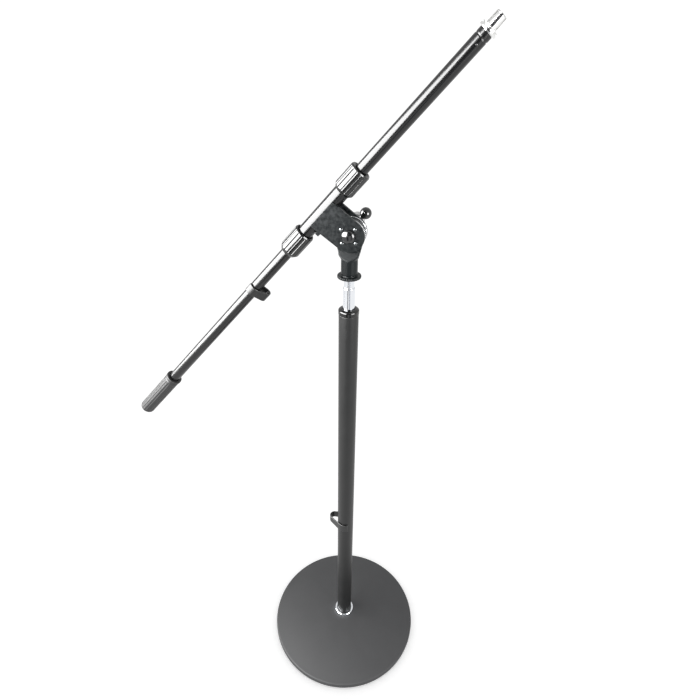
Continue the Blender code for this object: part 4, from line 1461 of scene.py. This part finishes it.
@dataclass
class Bracket:
    """The two plates that carry the boom's sleeve, and what is clamped between them."""

    shop: Workshop
    plate_thickness: float = 3.0
    plate_face: float = 10.5
    end_radius: float = 18.5
    reach: float = 38.4
    above: float = 16.0
    below: float = 22.0
    saddle_radius: float = 9.4
    hole_radius: float = 4.4
    edge_round: float = 0.45
    disc_radius: float = 18.3
    disc_near: float = 4.9
    disc_far: float = 7.2
    disc_groove: float = 0.4
    spacer_boom_side: float = -34.5
    spacer_pivot_side: float = -19.5
    spacer_above: float = 13.0
    spacer_below: float = 17.5
    spacer_tab_near: float = -28.5
    spacer_tab_far: float = -24.0
    spacer_tab_end: float = 26.0
    rivet_circle: float = 11.1
    rivet_radius: float = 1.9
    rivet_height: float = 0.9
    rivet_rim: float = 0.25
    rivet_shank: float = 1.2
    bolt_radius: float = 4.1
    bolt_head_radius: float = 7.8
    bolt_head_height: float = 4.6
    bolt_head_rim: float = 1.0
    bolt_rear: float = 54.0
    bolt_thread: float = 14.0
    thread_pitch: float = 1.25
    thread_depth: float = 0.55
    nut_radius: float = 9.0
    nut_front: float = 45.3
    nut_skirt: float = 54.3
    nut_rear: float = 60.5
    nut_knurls: int = 36

    def tangent_angle(self, corner: Point, side: float) -> float:
        """Where a straight edge from a corner meets the plate's round end.

        Args:
            corner: The corner that the edge starts from.
            side: 1 for the upper edge, -1 for the lower one.

        Returns:
            The angle round the pivot, in degrees.
        """
        bearing = math.degrees(math.atan2(corner[1], corner[0]))
        return bearing - side * math.degrees(math.acos(self.end_radius / math.hypot(*corner)))

    def plate(self, facing: float) -> Solid:
        """A plate with rounded edges, cut to sit on the sleeve.

        Args:
            facing: 1 for the front plate, -1 for the rear one.

        Returns:
            The plate in the bracket's axes.
        """
        above, below = (-self.reach, self.above), (-self.reach, -self.below)
        outline = arc((0.0, 0.0), self.end_radius, self.tangent_angle(below, -1.0),
                      self.tangent_angle(above, 1.0), 72)
        outline += [above, below]
        near = self.plate_face - self.plate_thickness
        solid = Solid(slab(outline, near, self.plate_face)).turned_to(FACING_FRONT)
        if facing < 0.0:
            solid.turned_to(Matrix.Scale(-1.0, 4, (0.0, 1.0, 0.0)))
            solid.mesh.flip_normals()
        hole = bar(self.hole_radius, -self.plate_face - 2.0, self.plate_face + 2.0)
        solid.joined(hole.turned_to(FACING_FRONT), Joining.CUT)
        solid.joined(self.saddle(), Joining.CUT)
        return solid.bevelled(self.edge_round)

    def saddle(self) -> Solid:
        """The tool that clears the sleeve, a bar along it."""
        away = Matrix.Translation((-self.shop.frame.boom_distance(), 0.0, 0.0))
        return bar(self.saddle_radius, -self.reach, self.reach).turned_to(away)

    def spacer(self) -> Solid:
        """The block between the plates, with a tab at its lower end.

        Returns:
            The block in the bracket's axes.
        """
        near, far = self.spacer_boom_side, self.spacer_pivot_side
        tab_near, tab_far, end = self.spacer_tab_near, self.spacer_tab_far, self.spacer_tab_end
        low, high = -self.spacer_below, self.spacer_above
        outline = [(near, low), (tab_near, low), (tab_near, -end), (tab_far, -end), (tab_far, low),
                   (far, low), (far, high), (near, high)]
        half = self.plate_face - self.plate_thickness - GAP
        solid = Solid(slab(outline, -half, half)).turned_to(FACING_FRONT)
        return solid.joined(self.saddle(), Joining.CUT).bevelled(self.edge_round)

    def disc(self) -> Solid:
        """A friction disc: two steel faces with a thin dark joint between them.

        Returns:
            The disc, Z away from the tongue.
        """
        middle = (self.disc_near + self.disc_far) / 2.0
        half = self.disc_groove / 2.0
        sunk = self.disc_radius - 0.5
        profile = rounded([
            (self.hole_radius, self.disc_near, 0.0), (self.disc_radius, self.disc_near, 0.3),
            (self.disc_radius, middle - half, 0.1), (sunk, middle - half, 0.0), (sunk, middle + half, 0.0),
            (self.disc_radius, middle + half, 0.1), (self.disc_radius, self.disc_far, 0.3),
            (self.hole_radius, self.disc_far, 0.0),
        ], 3)
        return Solid(lathe(profile, Steps.FINE))

    def rivet_head(self) -> Solid:
        """One domed rivet head with the start of its shank.

        Returns:
            The head, its underside half a gap above the plate.
        """
        seat = GAP / 2.0
        rim, top = seat + self.rivet_rim, seat + self.rivet_height
        profile = [(0.0, -0.5), (self.rivet_shank, -0.5), (self.rivet_shank, seat), (self.rivet_radius, seat),
                   (self.rivet_radius, rim)]
        profile += dome(self.rivet_radius, rim, top, range(15, 90, 15)) + [(0.0, top)]
        return Solid(lathe(profile, Steps.COARSE))

    def rivets(self) -> Solid:
        """Eight domed rivet heads, four on each plate.

        Returns:
            The heads as one shape.
        """
        shape = bmesh.new()
        facing = shape.verts.layers.float_vector.new("facing")
        for side in (-1.0, 1.0):
            spot = Vector((self.rivet_circle, side * (self.plate_face + GAP / 2.0), 0.0))
            for quarter in range(4):
                point = shape.verts.new(Matrix.Rotation(math.radians(90.0 * quarter), 3, "Y") @ spot)
                point[facing] = (0.0, side, 0.0)
        part = bpy.data.objects.new("rivet part", self.rivet_head().mesh)
        solid = Solid(shape).grown(self.shop.trees.scatter, self.shop.finishes["rivet_steel"], {
            "Part": part, "Scale": 1.0, "Spread": 0.03, "Seed": 4,
        })
        bpy.data.objects.remove(part)
        return solid

    def bolt(self) -> Solid:
        """The clamp bolt: a smooth domed head, a shank and a threaded end.

        Returns:
            The bolt, Z towards its head.
        """
        base = self.plate_face + GAP
        rim, top = base + self.bolt_head_rim, base + self.bolt_head_height
        low, head, ease = -self.bolt_rear, self.bolt_head_radius, 0.3
        thread_end = low + self.bolt_thread
        profile = [(0.0, low), (self.bolt_radius - 0.6, low), (self.bolt_radius, low + 0.6),
                   (self.bolt_radius, thread_end), (self.bolt_radius, base), (head - ease, base),
                   (head, base + ease), (head, rim)]
        profile += dome(head, rim, top, range(6, 90, 6)) + [(0.0, top)]
        profile = refined(profile, 0.14, low + 0.5, thread_end)
        mask = band_mask(low, thread_end, 1.2, self.bolt_radius - 0.3)
        solid = Solid(lathe(profile, Steps.MEDIUM, mask))
        return solid.grown(self.shop.trees.thread, self.shop.finishes["bolt_black"], {
            "Pitch": self.thread_pitch, "Depth": self.thread_depth,
        })

    def nut(self) -> Solid:
        """The domed nut on the bolt's rear end, knurled round its skirt.

        Returns:
            The nut, Z away from the bracket.
        """
        bore, bore_end = self.hole_radius, self.bolt_rear + GAP
        front, skirt, ease = self.nut_front, self.nut_skirt, 0.5
        profile = [(0.0, bore_end), (bore, bore_end), (bore, front), (self.nut_radius - ease, front),
                   (self.nut_radius, front + ease), (self.nut_radius, skirt)]
        profile += dome(self.nut_radius, skirt + 0.6, self.nut_rear, range(0, 90, 9)) + [(0.0, self.nut_rear)]
        profile = refined(profile, 0.8, front + 0.4, skirt)
        mask = band_mask(front + 0.8, skirt - 0.6, 0.7, self.nut_radius - 1.0)
        solid = Solid(lathe(profile, Steps.FINE, mask))
        return solid.grown(self.shop.trees.flutes, self.shop.finishes["zinc_steel"], {
            "Count": float(self.nut_knurls), "Depth": 0.5, "Narrowness": 1.4, "Turn": 0.0,
        })

    def build(self) -> None:
        """Sets the bracket's pieces in the frame."""
        tilted = self.shop.frame.tilt_axes()
        for side, facing, turn in (("front", 1.0, FACING_FRONT), ("rear", -1.0, FACING_REAR)):
            self.shop.set_in(self.plate(facing), f"{side}_cheek", tilted, [f"bracket_plate_{side}"])
            self.shop.set_in(self.disc(), f"{side}_clutch_disc", tilted @ turn, [f"friction_disc_{side}"])
        self.shop.set_in(self.spacer(), "cheek_spacer", tilted, ["bracket_spacer"])
        heads = [f"rivet_{side}_{number}" for side in ("front", "rear") for number in range(1, 5)]
        self.shop.set_in(self.rivets(), "cheek_rivets", tilted, heads)
        self.shop.set_in(self.bolt(), "clamp_bolt", tilted @ FACING_FRONT, ["pivot_bolt"])
        self.shop.set_in(self.nut(), "domed_nut", tilted @ FACING_REAR, ["cap_nut"])


@dataclass
class ClampHandle:
    """The cross-bar handle behind the bracket."""

    shop: Workshop
    washer_radius: float = 9.5
    hub_radius: float = 9.3
    hub_front: float = 12.9
    hub_rear: float = 45.0
    bore: float = 4.4
    bar_depth: float = 35.0
    bar_radius: float = 3.0
    bar_angle: float = 47.5
    ball_radius: float = 7.0
    ball_distance: float = 18.5
    bar_in_ball: float = 3.0
    bar_in_hub: float = 1.2
    waist: float = 1.2
    ribs: int = 12
    rib_depth: float = 0.8

    def hub(self, leans: Sequence[Matrix]) -> Solid:
        """The hub: a waisted collar with flutes, bored for the bar.

        Args:
            leans: The directions of the bar's two halves.

        Returns:
            The hub in the handle's axes.
        """
        front, rear, narrow = self.hub_front, self.hub_rear, self.hub_radius - self.waist
        corners = [
            (self.bore, front, 0.3), (self.hub_radius, front, 0.6), (self.hub_radius, front + 3.0, 0.5),
            (narrow, front + 4.2, 0.6), (narrow, self.bar_depth - 8.0, 0.8),
            (self.hub_radius, self.bar_depth - 6.0, 0.8), (self.hub_radius, rear, 1.8),
            (self.bore, rear, 0.3),
        ]
        low, high = front + 4.0, self.bar_depth - 7.5
        profile = refined(rounded(corners, 5), 0.8, low, high)
        solid = Solid(lathe(profile, Steps.FINE, band_mask(low, high, 2.5, self.bore + 1.0)))
        solid.grown(self.shop.trees.flutes, self.shop.finishes["handle_plastic"], {
            "Count": float(self.ribs), "Depth": self.rib_depth, "Narrowness": 0.8, "Turn": 0.0,
        })
        solid.turned_to(FACING_REAR)
        to_bar = Matrix.Translation((0.0, self.bar_depth, 0.0))
        for lean in leans:
            socket = bar(self.bar_radius + GAP, self.bore + self.bar_in_hub, self.hub_radius + 4.0)
            solid.joined(socket.turned_to(to_bar @ lean), Joining.CUT)
        return solid

    def rod(self) -> Solid:
        """Half of the cross bar.

        Returns:
            The bar, Z from the hub to the ball.
        """
        low, end = self.bore + self.bar_in_hub + GAP, self.ball_distance + self.bar_in_ball
        return Solid(lathe(rounded([(0.0, low, 0.0), (self.bar_radius, low, 0.4), (self.bar_radius, end, 0.5),
                                    (0.0, end, 0.0)]), Steps.COARSE))

    def ball(self) -> Solid:
        """A ball with a short flat collar where the bar goes in.

        Returns:
            The ball, at its distance from the hub's middle.
        """
        bore = self.bar_radius + GAP
        open_angle = math.degrees(math.acos((bore + 0.8) / self.ball_radius))
        shell = arc((0.0, self.ball_distance), self.ball_radius, -open_angle, 90.0, 36)
        bore_top, mouth = self.ball_distance + self.bar_in_ball + GAP, shell[0][1]
        profile = [(0.0, bore_top), (bore, bore_top), (bore, mouth + 0.3), (bore + 0.3, mouth)]
        profile += shell[:-1] + [(0.0, self.ball_distance + self.ball_radius)]
        return Solid(lathe(profile, Steps.MEDIUM))

    def washer(self) -> Solid:
        """The thin washer under the hub.

        Returns:
            The washer in the handle's axes.
        """
        low, high = (corner.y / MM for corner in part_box("handle_washer"))
        profile = rounded([(self.bore, low, 0.1), (self.washer_radius, low, 0.15),
                           (self.washer_radius, high, 0.15), (self.bore, high, 0.1)], 2)
        return Solid(lathe(profile, Steps.MEDIUM))

    def build(self) -> None:
        """Sets the handle's pieces in the frame."""
        axes = self.shop.frame.upright_axes()
        to_bar = Matrix.Translation((0.0, self.bar_depth * MM, 0.0))
        leans = {side: Matrix.Rotation(math.radians(90.0 - self.bar_angle + angle), 4, "Y")
                 for side, angle in (("upper", 0.0), ("lower", 180.0))}
        self.shop.set_in(self.washer(), "hub_washer", axes @ FACING_REAR, ["handle_washer"])
        self.shop.set_in(self.hub(list(leans.values())), "clamp_hub", axes, ["handle_hub"])
        for side, lean in leans.items():
            self.shop.set_in(self.rod(), f"{side}_cross_bar", axes @ to_bar @ lean, [f"handle_bar_{side}"])
            self.shop.set_in(self.ball(), f"{side}_ball", axes @ to_bar @ lean, [f"handle_ball_{side}"])


@dataclass
class ClutchKnob:
    """A fluted knob that grips the boom rod, its open mouth upwards and its foot downwards."""

    shop: Workshop
    side: str
    sleeve_bore: float = 9.4
    rod_bore: float = 8.1
    radius: float = 12.3
    rim_radius: float = 11.4
    mouth_radius: float = 10.4
    mouth_depth: float = 2.4
    collet_far: float = 56.5
    collet_seat: float = 2.5
    upper_ends: Point = (29.0, 60.0)
    lower_ends: Point = (35.5, 69.0)
    flutes: int = 15
    flute_depth: float = 0.7
    flute_narrowness: float = 12.0
    flute_turn: float = 0.1

    def seat_corners(self) -> list[Corner]:
        """The last corners of the bore, where the knob bears on its collet."""
        return [(self.rod_bore, self.collet_far + GAP, 0.2),
                (self.sleeve_bore, self.collet_far - self.collet_seat, 0.2)]

    def upper_corners(self) -> tuple[list[Corner], float, float]:
        """The upper knob, which tapers down on to the sleeve.

        Returns:
            The profile's corners, and where its flutes start and end.
        """
        foot, mouth = self.upper_ends
        corners = [
            (self.sleeve_bore, foot, 0.2), (9.9, foot, 0.25), (10.4, foot + 1.0, 0.4),
            (self.radius, foot + 3.2, 2.2), (self.radius, mouth - 1.5, 0.5), (self.rim_radius, mouth, 0.4),
            (self.mouth_radius, mouth, 0.3), (self.rod_bore, mouth - self.mouth_depth, 0.3),
        ]
        return corners + self.seat_corners(), foot + 1.6, mouth - 1.2

    def lower_corners(self) -> tuple[list[Corner], float, float]:
        """The lower knob, measured downwards, which tapers down to the rod.

        Returns:
            The profile's corners, and where its flutes start and end.
        """
        mouth, foot = self.lower_ends
        corners = [
            (self.sleeve_bore, mouth + self.mouth_depth, 0.2), (self.mouth_radius, mouth, 0.3),
            (self.rim_radius, mouth, 0.4), (self.radius, mouth + 1.5, 0.5), (self.radius, foot - 4.6, 3.2),
            (9.4, foot - 0.4, 0.6), (8.6, foot, 0.2), (self.rod_bore, foot, 0.2),
        ]
        return corners + self.seat_corners(), mouth + 1.2, foot - 1.2

    def knob(self) -> Solid:
        """The knob with its flutes, which stop short of the rim.

        Returns:
            The knob, Z away from the bracket.
        """
        corners, low, high = self.upper_corners() if self.side == "upper" else self.lower_corners()
        profile = refined(rounded(corners, 5), 0.7, low, high)
        solid = Solid(lathe(profile, Steps.FINE, band_mask(low, high, 1.6, self.sleeve_bore + 0.5)))
        return solid.grown(self.shop.trees.flutes, self.shop.finishes["knob_plastic"], {
            "Count": float(self.flutes), "Depth": self.flute_depth,
            "Narrowness": self.flute_narrowness, "Turn": self.flute_turn,
        })

    def build(self) -> None:
        """Sets the knob in the frame."""
        place = self.shop.frame.boom_axes()
        if self.side == "lower":
            place = place @ TURNED_ROUND
        self.shop.set_in(self.knob(), f"{self.side}_fluted_knob", place, [f"{self.side}_clutch_knob"])


@dataclass
class Boom:
    """The sleeve, the long rod, its end grip and its threaded tip."""

    shop: Workshop
    sleeve_radius: float = 9.1
    sleeve_half: float = 50.0
    rod_radius: float = 7.2
    rod_wall: float = 1.0
    rod_bottom: float = -417.5
    rod_top: float = 225.5
    rod_ease: float = 0.4
    crimp_station: float = 219.5
    crimp_depth: float = 0.45
    crimp_half: float = 1.2
    crimp_steps: int = 6
    dimple_station: float = 213.0
    dimple_radius: float = 1.5
    dimple_depth: float = 0.5
    dimple_turn: float = -84.0
    grip_bottom: float = -424.5
    grip_top: float = -339.5
    grip_radius: float = 10.4
    grip_lip: float = 11.0
    grip_flutes: int = 16
    grip_flute_depth: float = 0.45
    flange_radius: float = 9.5
    flange_top: float = 230.2
    stud_radius: float = 6.0
    stud_top: float = 243.5
    spigot: float = 18.0
    stud_shank: float = 15.0
    tip_bore: float = 4.3
    thread_pitch: float = 1.27
    thread_depth: float = 0.55
    slots: int = 6
    slot_width: float = 1.3
    slot_depth: float = 0.9

    def sleeve(self) -> Solid:
        """The outer tube, its ends rounded over.

        Returns:
            The tube in the boom's axes.
        """
        bore, radius, half = self.rod_radius + GAP, self.sleeve_radius, self.sleeve_half
        profile = rounded([(bore, -half, 0.3), (radius, -half, 0.6), (radius, half, 0.6), (bore, half, 0.3)])
        return Solid(lathe(profile, Steps.MEDIUM))

    def rod(self) -> Solid:
        """The rod, with a rolled crimp and dimples that hold the tip in.

        Returns:
            The rod in the boom's axes.
        """
        radius, ease, low, top = self.rod_radius, self.rod_ease, self.rod_bottom, self.rod_top
        inner = radius - self.rod_wall
        crimp = []
        for i in range(-self.crimp_steps, self.crimp_steps + 1):
            share = i / self.crimp_steps
            sunk = self.crimp_depth * (1.0 + math.cos(math.pi * share)) / 2.0
            crimp.append((radius - sunk, self.crimp_station + self.crimp_half * share))
        profile = [(inner, low), (radius - ease, low), (radius, low + ease)] + crimp
        profile += [(radius, top - ease), (radius - ease, top), (inner, top)]
        solid = Solid(lathe(profile, Steps.MEDIUM))
        dent = Matrix.Translation((radius + self.dimple_radius - self.dimple_depth, 0.0, self.dimple_station))
        ends = (0.0, -self.dimple_radius), (0.0, self.dimple_radius)
        tool = [ends[0], *arc((0.0, 0.0), self.dimple_radius, -80.0, 80.0, 16), ends[1]]
        for quarter in range(4):
            turn = Matrix.Rotation(math.radians(self.dimple_turn + 90.0 * quarter), 4, "Z")
            solid.joined(Solid(lathe(tool, Steps.COARSE)).turned_to(turn @ dent), Joining.CUT)
        return solid

    def grip(self) -> Solid:
        """The rubber end grip: flutes, a rounded foot and a lip at its mouth.

        Returns:
            The grip in the boom's axes.
        """
        bore, floor, top = self.rod_radius + GAP, self.rod_bottom - GAP, self.grip_top
        groove = self.grip_radius - 0.7
        corners = [
            (0.0, self.grip_bottom, 0.0), (self.grip_radius, self.grip_bottom, 4.0),
            (self.grip_radius, top - 7.0, 0.6), (groove, top - 5.8, 0.3), (groove, top - 4.4, 0.3),
            (self.grip_lip, top - 3.6, 0.5), (self.grip_lip, top, 0.8), (bore, top, 0.5),
            (bore, floor, 0.0), (0.0, floor, 0.0),
        ]
        low, high = self.grip_bottom + 3.0, top - 7.0
        profile = refined(rounded(corners, 6), 2.5, low, high)
        mask = band_mask(low, high - 0.5, 3.0, self.grip_radius - 1.0)
        solid = Solid(lathe(profile, Steps.FINE, mask))
        return solid.grown(self.shop.trees.flutes, self.shop.finishes["grip_rubber"], {
            "Count": float(self.grip_flutes), "Depth": self.grip_flute_depth,
            "Narrowness": 3.0, "Turn": 0.0,
        })

    def bush(self) -> Solid:
        """The bright flange at the tip, with its spigot in the rod and a groove round its rim.

        Returns:
            The flange in the boom's axes.
        """
        seat = self.rod_top + GAP
        spigot = self.rod_radius - self.rod_wall - GAP
        groove = (seat + self.flange_top) / 2.0 + 0.7
        rim, sunk = self.flange_radius, self.flange_radius - 1.4
        corners = [
            (self.tip_bore, seat - self.spigot, 0.2), (spigot, seat - self.spigot, 0.5), (spigot, seat, 0.0),
            (rim, seat, 0.4), (rim, groove - 0.6, 0.2), (sunk, groove - 0.2, 0.2), (sunk, groove + 0.5, 0.2),
            (rim - 0.3, groove + 0.9, 0.2), (rim - 0.5, self.flange_top, 0.5),
            (self.tip_bore, self.flange_top, 0.2),
        ]
        return Solid(lathe(rounded(corners, 4), Steps.MEDIUM))

    def stud(self) -> Solid:
        """The threaded stud, slotted along its sides.

        Returns:
            The stud in the boom's axes.
        """
        seat, top = self.flange_top + GAP, self.stud_top
        low = self.rod_top + GAP - self.stud_shank
        shank = self.tip_bore - GAP
        corners = [
            (0.0, low, 0.0), (shank, low, 0.5), (shank, seat, 0.0), (self.stud_radius, seat, 0.2),
            (self.stud_radius, top - 1.1, 0.2), (self.stud_radius - 1.1, top, 0.3),
            (2.2, top, 0.3), (1.6, top - 2.6, 0.3), (0.0, top - 2.6, 0.0),
        ]
        profile = refined(rounded(corners, 3), self.thread_pitch / 8.0, seat + 0.2, top - 0.9)
        mask = band_mask(seat + 1.0, top - 0.4, 0.9, self.stud_radius - 0.8)
        solid = Solid(lathe(profile, Steps.FINE, mask))
        solid.grown(self.shop.trees.thread, self.shop.finishes["tip_plate"], {
            "Pitch": self.thread_pitch, "Depth": self.thread_depth,
        })
        for number in range(self.slots):
            solid.joined(self.slot_tool(math.tau / self.slots * number), Joining.CUT)
        return solid

    def slot_tool(self, turn: float) -> Solid:
        """The tool for one slot along the stud, which ends in a round hole.

        Args:
            turn: The slot's angle round the stud, in radians.

        Returns:
            The tool in the stud's axes.
        """
        low = self.flange_top + 2.6
        half = self.slot_width / 2.0
        hole = arc((0.0, low), self.slot_width * 0.8, 128.0, 412.0, 24)
        outline = hole + [(half, self.stud_top + 1.0), (-half, self.stud_top + 1.0)]
        near, far = self.stud_radius - self.slot_depth, self.stud_radius + 1.0
        to_side = Matrix.Rotation(turn, 4, "Z") @ FACING_FRONT
        return Solid(slab(outline, near, far)).turned_to(to_side)

    def build(self) -> None:
        """Sets the boom's pieces in the frame."""
        axes = self.shop.frame.boom_axes()
        self.shop.set_in(self.sleeve(), "outer_sleeve", axes, ["boom_sleeve"])
        self.shop.set_in(self.rod(), "long_rod", axes, ["boom_rod"])
        self.shop.set_in(self.grip(), "rubber_grip", axes, ["end_grip"])
        self.shop.set_in(self.bush(), "tip_flange", axes, ["tip_bush"], finish="tip_plate")
        self.shop.set_in(self.stud(), "threaded_stud", axes, ["tip_stud"], finish="tip_plate")


# ---------------------------------------------------------------- studio


@dataclass(frozen=True)
class Lamp:
    """A soft box that shows in glossy surfaces: its place, target, size and strength."""

    name: str
    place: Place
    target: Place
    width: float
    height: float
    power: float


@dataclass(frozen=True)
class Flag:
    """An upright card behind the camera that shows only as a reflection."""

    name: str
    left: float
    right: float
    low: float
    high: float
    colour: Colour


@dataclass
class Studio:
    """A pale floor, pale surroundings, soft boxes and the camera. Lengths here are in metres."""

    camera_place: Place = (0.092, -0.5445, 0.947)
    heading: float = 9.34
    looking_down: float = 31.995
    roll: float = 1.01
    lens: float = 25.996
    sensor: float = 36.0
    floor_half: float = 30.0
    floor_glow: float = 0.3
    backdrop: float = 1.1
    surroundings: float = 0.85
    flag_distance: float = -0.8
    lamps: tuple[Lamp, ...] = (
        Lamp("left_box", (-1.24, -0.84, 1.15), (0.0, 0.0, 0.8), 2.5, 1.5, 270.0),
        Lamp("right_box", (1.2, -0.86, 0.85), (0.0, 0.0, 0.78), 0.8, 0.9, 36.0),
    )
    flags: tuple[Flag, ...] = (
        Flag("flag_low_left", -0.24, -0.04, 0.0, 0.75, (0.02, 0.02, 0.022)),
        Flag("flag_low_right", 0.28, 0.46, 0.0, 0.75, (0.08, 0.11, 0.18)),
        Flag("flag_high", -0.24, 0.46, 0.75, 1.75, (0.04, 0.04, 0.045)),
    )

    def camera(self) -> None:
        """Stands the camera at its place."""
        data = bpy.data.cameras.new("camera")
        data.lens = self.lens
        data.sensor_width = self.sensor
        data.clip_start = 0.01
        camera = bpy.data.objects.new("camera", data)
        turn = Matrix.Rotation(math.radians(self.heading), 4, "Z")
        tip = Matrix.Rotation(math.radians(90.0 - self.looking_down), 4, "X")
        roll = Matrix.Rotation(math.radians(self.roll), 4, "Z")
        camera.matrix_world = Matrix.Translation(self.camera_place) @ turn @ tip @ roll
        bpy.context.scene.collection.objects.link(camera)
        bpy.context.scene.camera = camera

    def _plain(self, name: str, inputs: dict[str, object]) -> bpy.types.Material:
        """A plain material for what stands round the object.

        Args:
            name: The material's name.
            inputs: The shader's inputs by name.

        Returns:
            The material.
        """
        material = bpy.data.materials.new(name)
        material.use_nodes = True
        shader = material.node_tree.nodes["Principled BSDF"]
        for key, value in inputs.items():
            shader.inputs[key].default_value = value
        return material

    def _staged(self, name: str, corners: Sequence[Place],
                material: bpy.types.Material) -> bpy.types.Object:
        """Adds a flat sheet that is no part of the stand.

        Args:
            name: The sheet's name.
            corners: Its four corners.
            material: Its material.

        Returns:
            The sheet.
        """
        mesh = bpy.data.meshes.new(name)
        mesh.from_pydata(corners, [], [(0, 1, 2, 3)])
        mesh.materials.append(material)
        sheet = bpy.data.objects.new(name, mesh)
        bpy.context.scene.collection.objects.link(sheet)
        sheet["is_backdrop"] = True
        return sheet

    def floor(self) -> None:
        """Lays the pale floor."""
        material = self._plain("floor_white", {
            "Base Color": (0.9, 0.9, 0.9, 1.0), "Roughness": 0.9, "Specular IOR Level": 0.1,
            "Emission Color": (1.0, 1.0, 1.0, 1.0), "Emission Strength": self.floor_glow,
        })
        half = self.floor_half
        corners = [(-half, -half, 0.0), (half, -half, 0.0), (half, half, 0.0), (-half, half, 0.0)]
        self._staged("floor", corners, material)

    def cards(self) -> None:
        """Stands the dark cards behind the camera, seen only in reflections."""
        y = self.flag_distance
        for flag in self.flags:
            material = self._plain(flag.name, {
                "Base Color": (0.0, 0.0, 0.0, 1.0), "Specular IOR Level": 0.0,
                "Emission Color": (*flag.colour, 1.0), "Emission Strength": 1.0,
            })
            corners = [(flag.left, y, flag.low), (flag.right, y, flag.low), (flag.right, y, flag.high),
                       (flag.left, y, flag.high)]
            card = self._staged(flag.name, corners, material)
            card.visible_camera = False
            card.visible_diffuse = False
            card.visible_shadow = False

    def surround(self) -> None:
        """Sets the surroundings, white where the camera sees them and softer elsewhere."""
        world = bpy.data.worlds.new("surroundings")
        world.use_nodes = True
        wire = Wiring(world.node_tree)
        light = world.node_tree.nodes["Background"]
        path = wire.node("ShaderNodeLightPath")
        extra = self.backdrop - self.surroundings
        strength = wire.math("MULTIPLY_ADD", path.outputs["Is Camera Ray"], extra, self.surroundings)
        light.inputs["Color"].default_value = (1.0, 1.0, 1.0, 1.0)
        world.node_tree.links.new(strength, light.inputs["Strength"])
        bpy.context.scene.world = world
        bpy.context.scene.view_settings.view_transform = "Standard"

    def boxes(self) -> None:
        """Hangs the soft boxes."""
        for lamp in self.lamps:
            data = bpy.data.lights.new(lamp.name, "AREA")
            data.shape = "RECTANGLE"
            data.size = lamp.width
            data.size_y = lamp.height
            data.energy = lamp.power
            box = bpy.data.objects.new(lamp.name, data)
            box.location = lamp.place
            away = Vector(lamp.place) - Vector(lamp.target)
            box.rotation_euler = away.to_track_quat("Z", "Y").to_euler()
            box.visible_diffuse = False
            bpy.context.scene.collection.objects.link(box)

    def build(self) -> None:
        """Sets the studio up."""
        self.camera()
        self.floor()
        self.cards()
        self.surround()
        self.boxes()


def clips(shop: Workshop) -> tuple[CableClip, CableClip]:
    """The clip on the mast and the clip on the boom.

    Args:
        shop: The workshop that sets them in.

    Returns:
        The two clips, each at its place in the frame.
    """
    low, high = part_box("mast_cable_clip")
    on_mast = Matrix.Translation((0.0, 0.0, (low.z + high.z) / 2.0))
    on_boom = shop.frame.boom_axes() @ Matrix.Translation((0.0, 0.0, BOOM_CLIP_STATION * MM))
    return (
        CableClip(shop, "mast_cable_clip", "mast_strap_clip", on_mast, band_radius=13.6, pocket_radius=6.6,
                  pocket_distance=20.5, pocket_angle=162.0, front_end=297.0, rear_end=60.0,
                  thickness=1.6, height_at_tube=14.0, height_at_pocket=12.0),
        CableClip(shop, "boom_cable_clip", "boom_strap_clip", on_boom, band_radius=8.6, pocket_radius=4.8,
                  pocket_distance=14.4, pocket_angle=-17.0, front_end=150.0, rear_end=-125.0,
                  thickness=2.0, height_at_tube=11.5, height_at_pocket=13.5, mirrored=True),
    )


def main() -> None:
    """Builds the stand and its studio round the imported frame."""
    logging.basicConfig(level=logging.INFO, format="%(name)s: %(message)s")
    frame = Frame()
    Studio().build()
    shop = Workshop(frame)
    WeightedBase(shop).build()
    Mast(shop).build()
    SlidingTube(shop).build()
    LockRing(shop).build()
    SwivelHead(shop).build()
    Bracket(shop).build()
    ClampHandle(shop).build()
    for side in ("upper", "lower"):
        ClutchKnob(shop, side).build()
    Boom(shop).build()
    for clip in clips(shop):
        clip.build()
    shop.dress_rest()


if __name__ == "__main__":
    main()
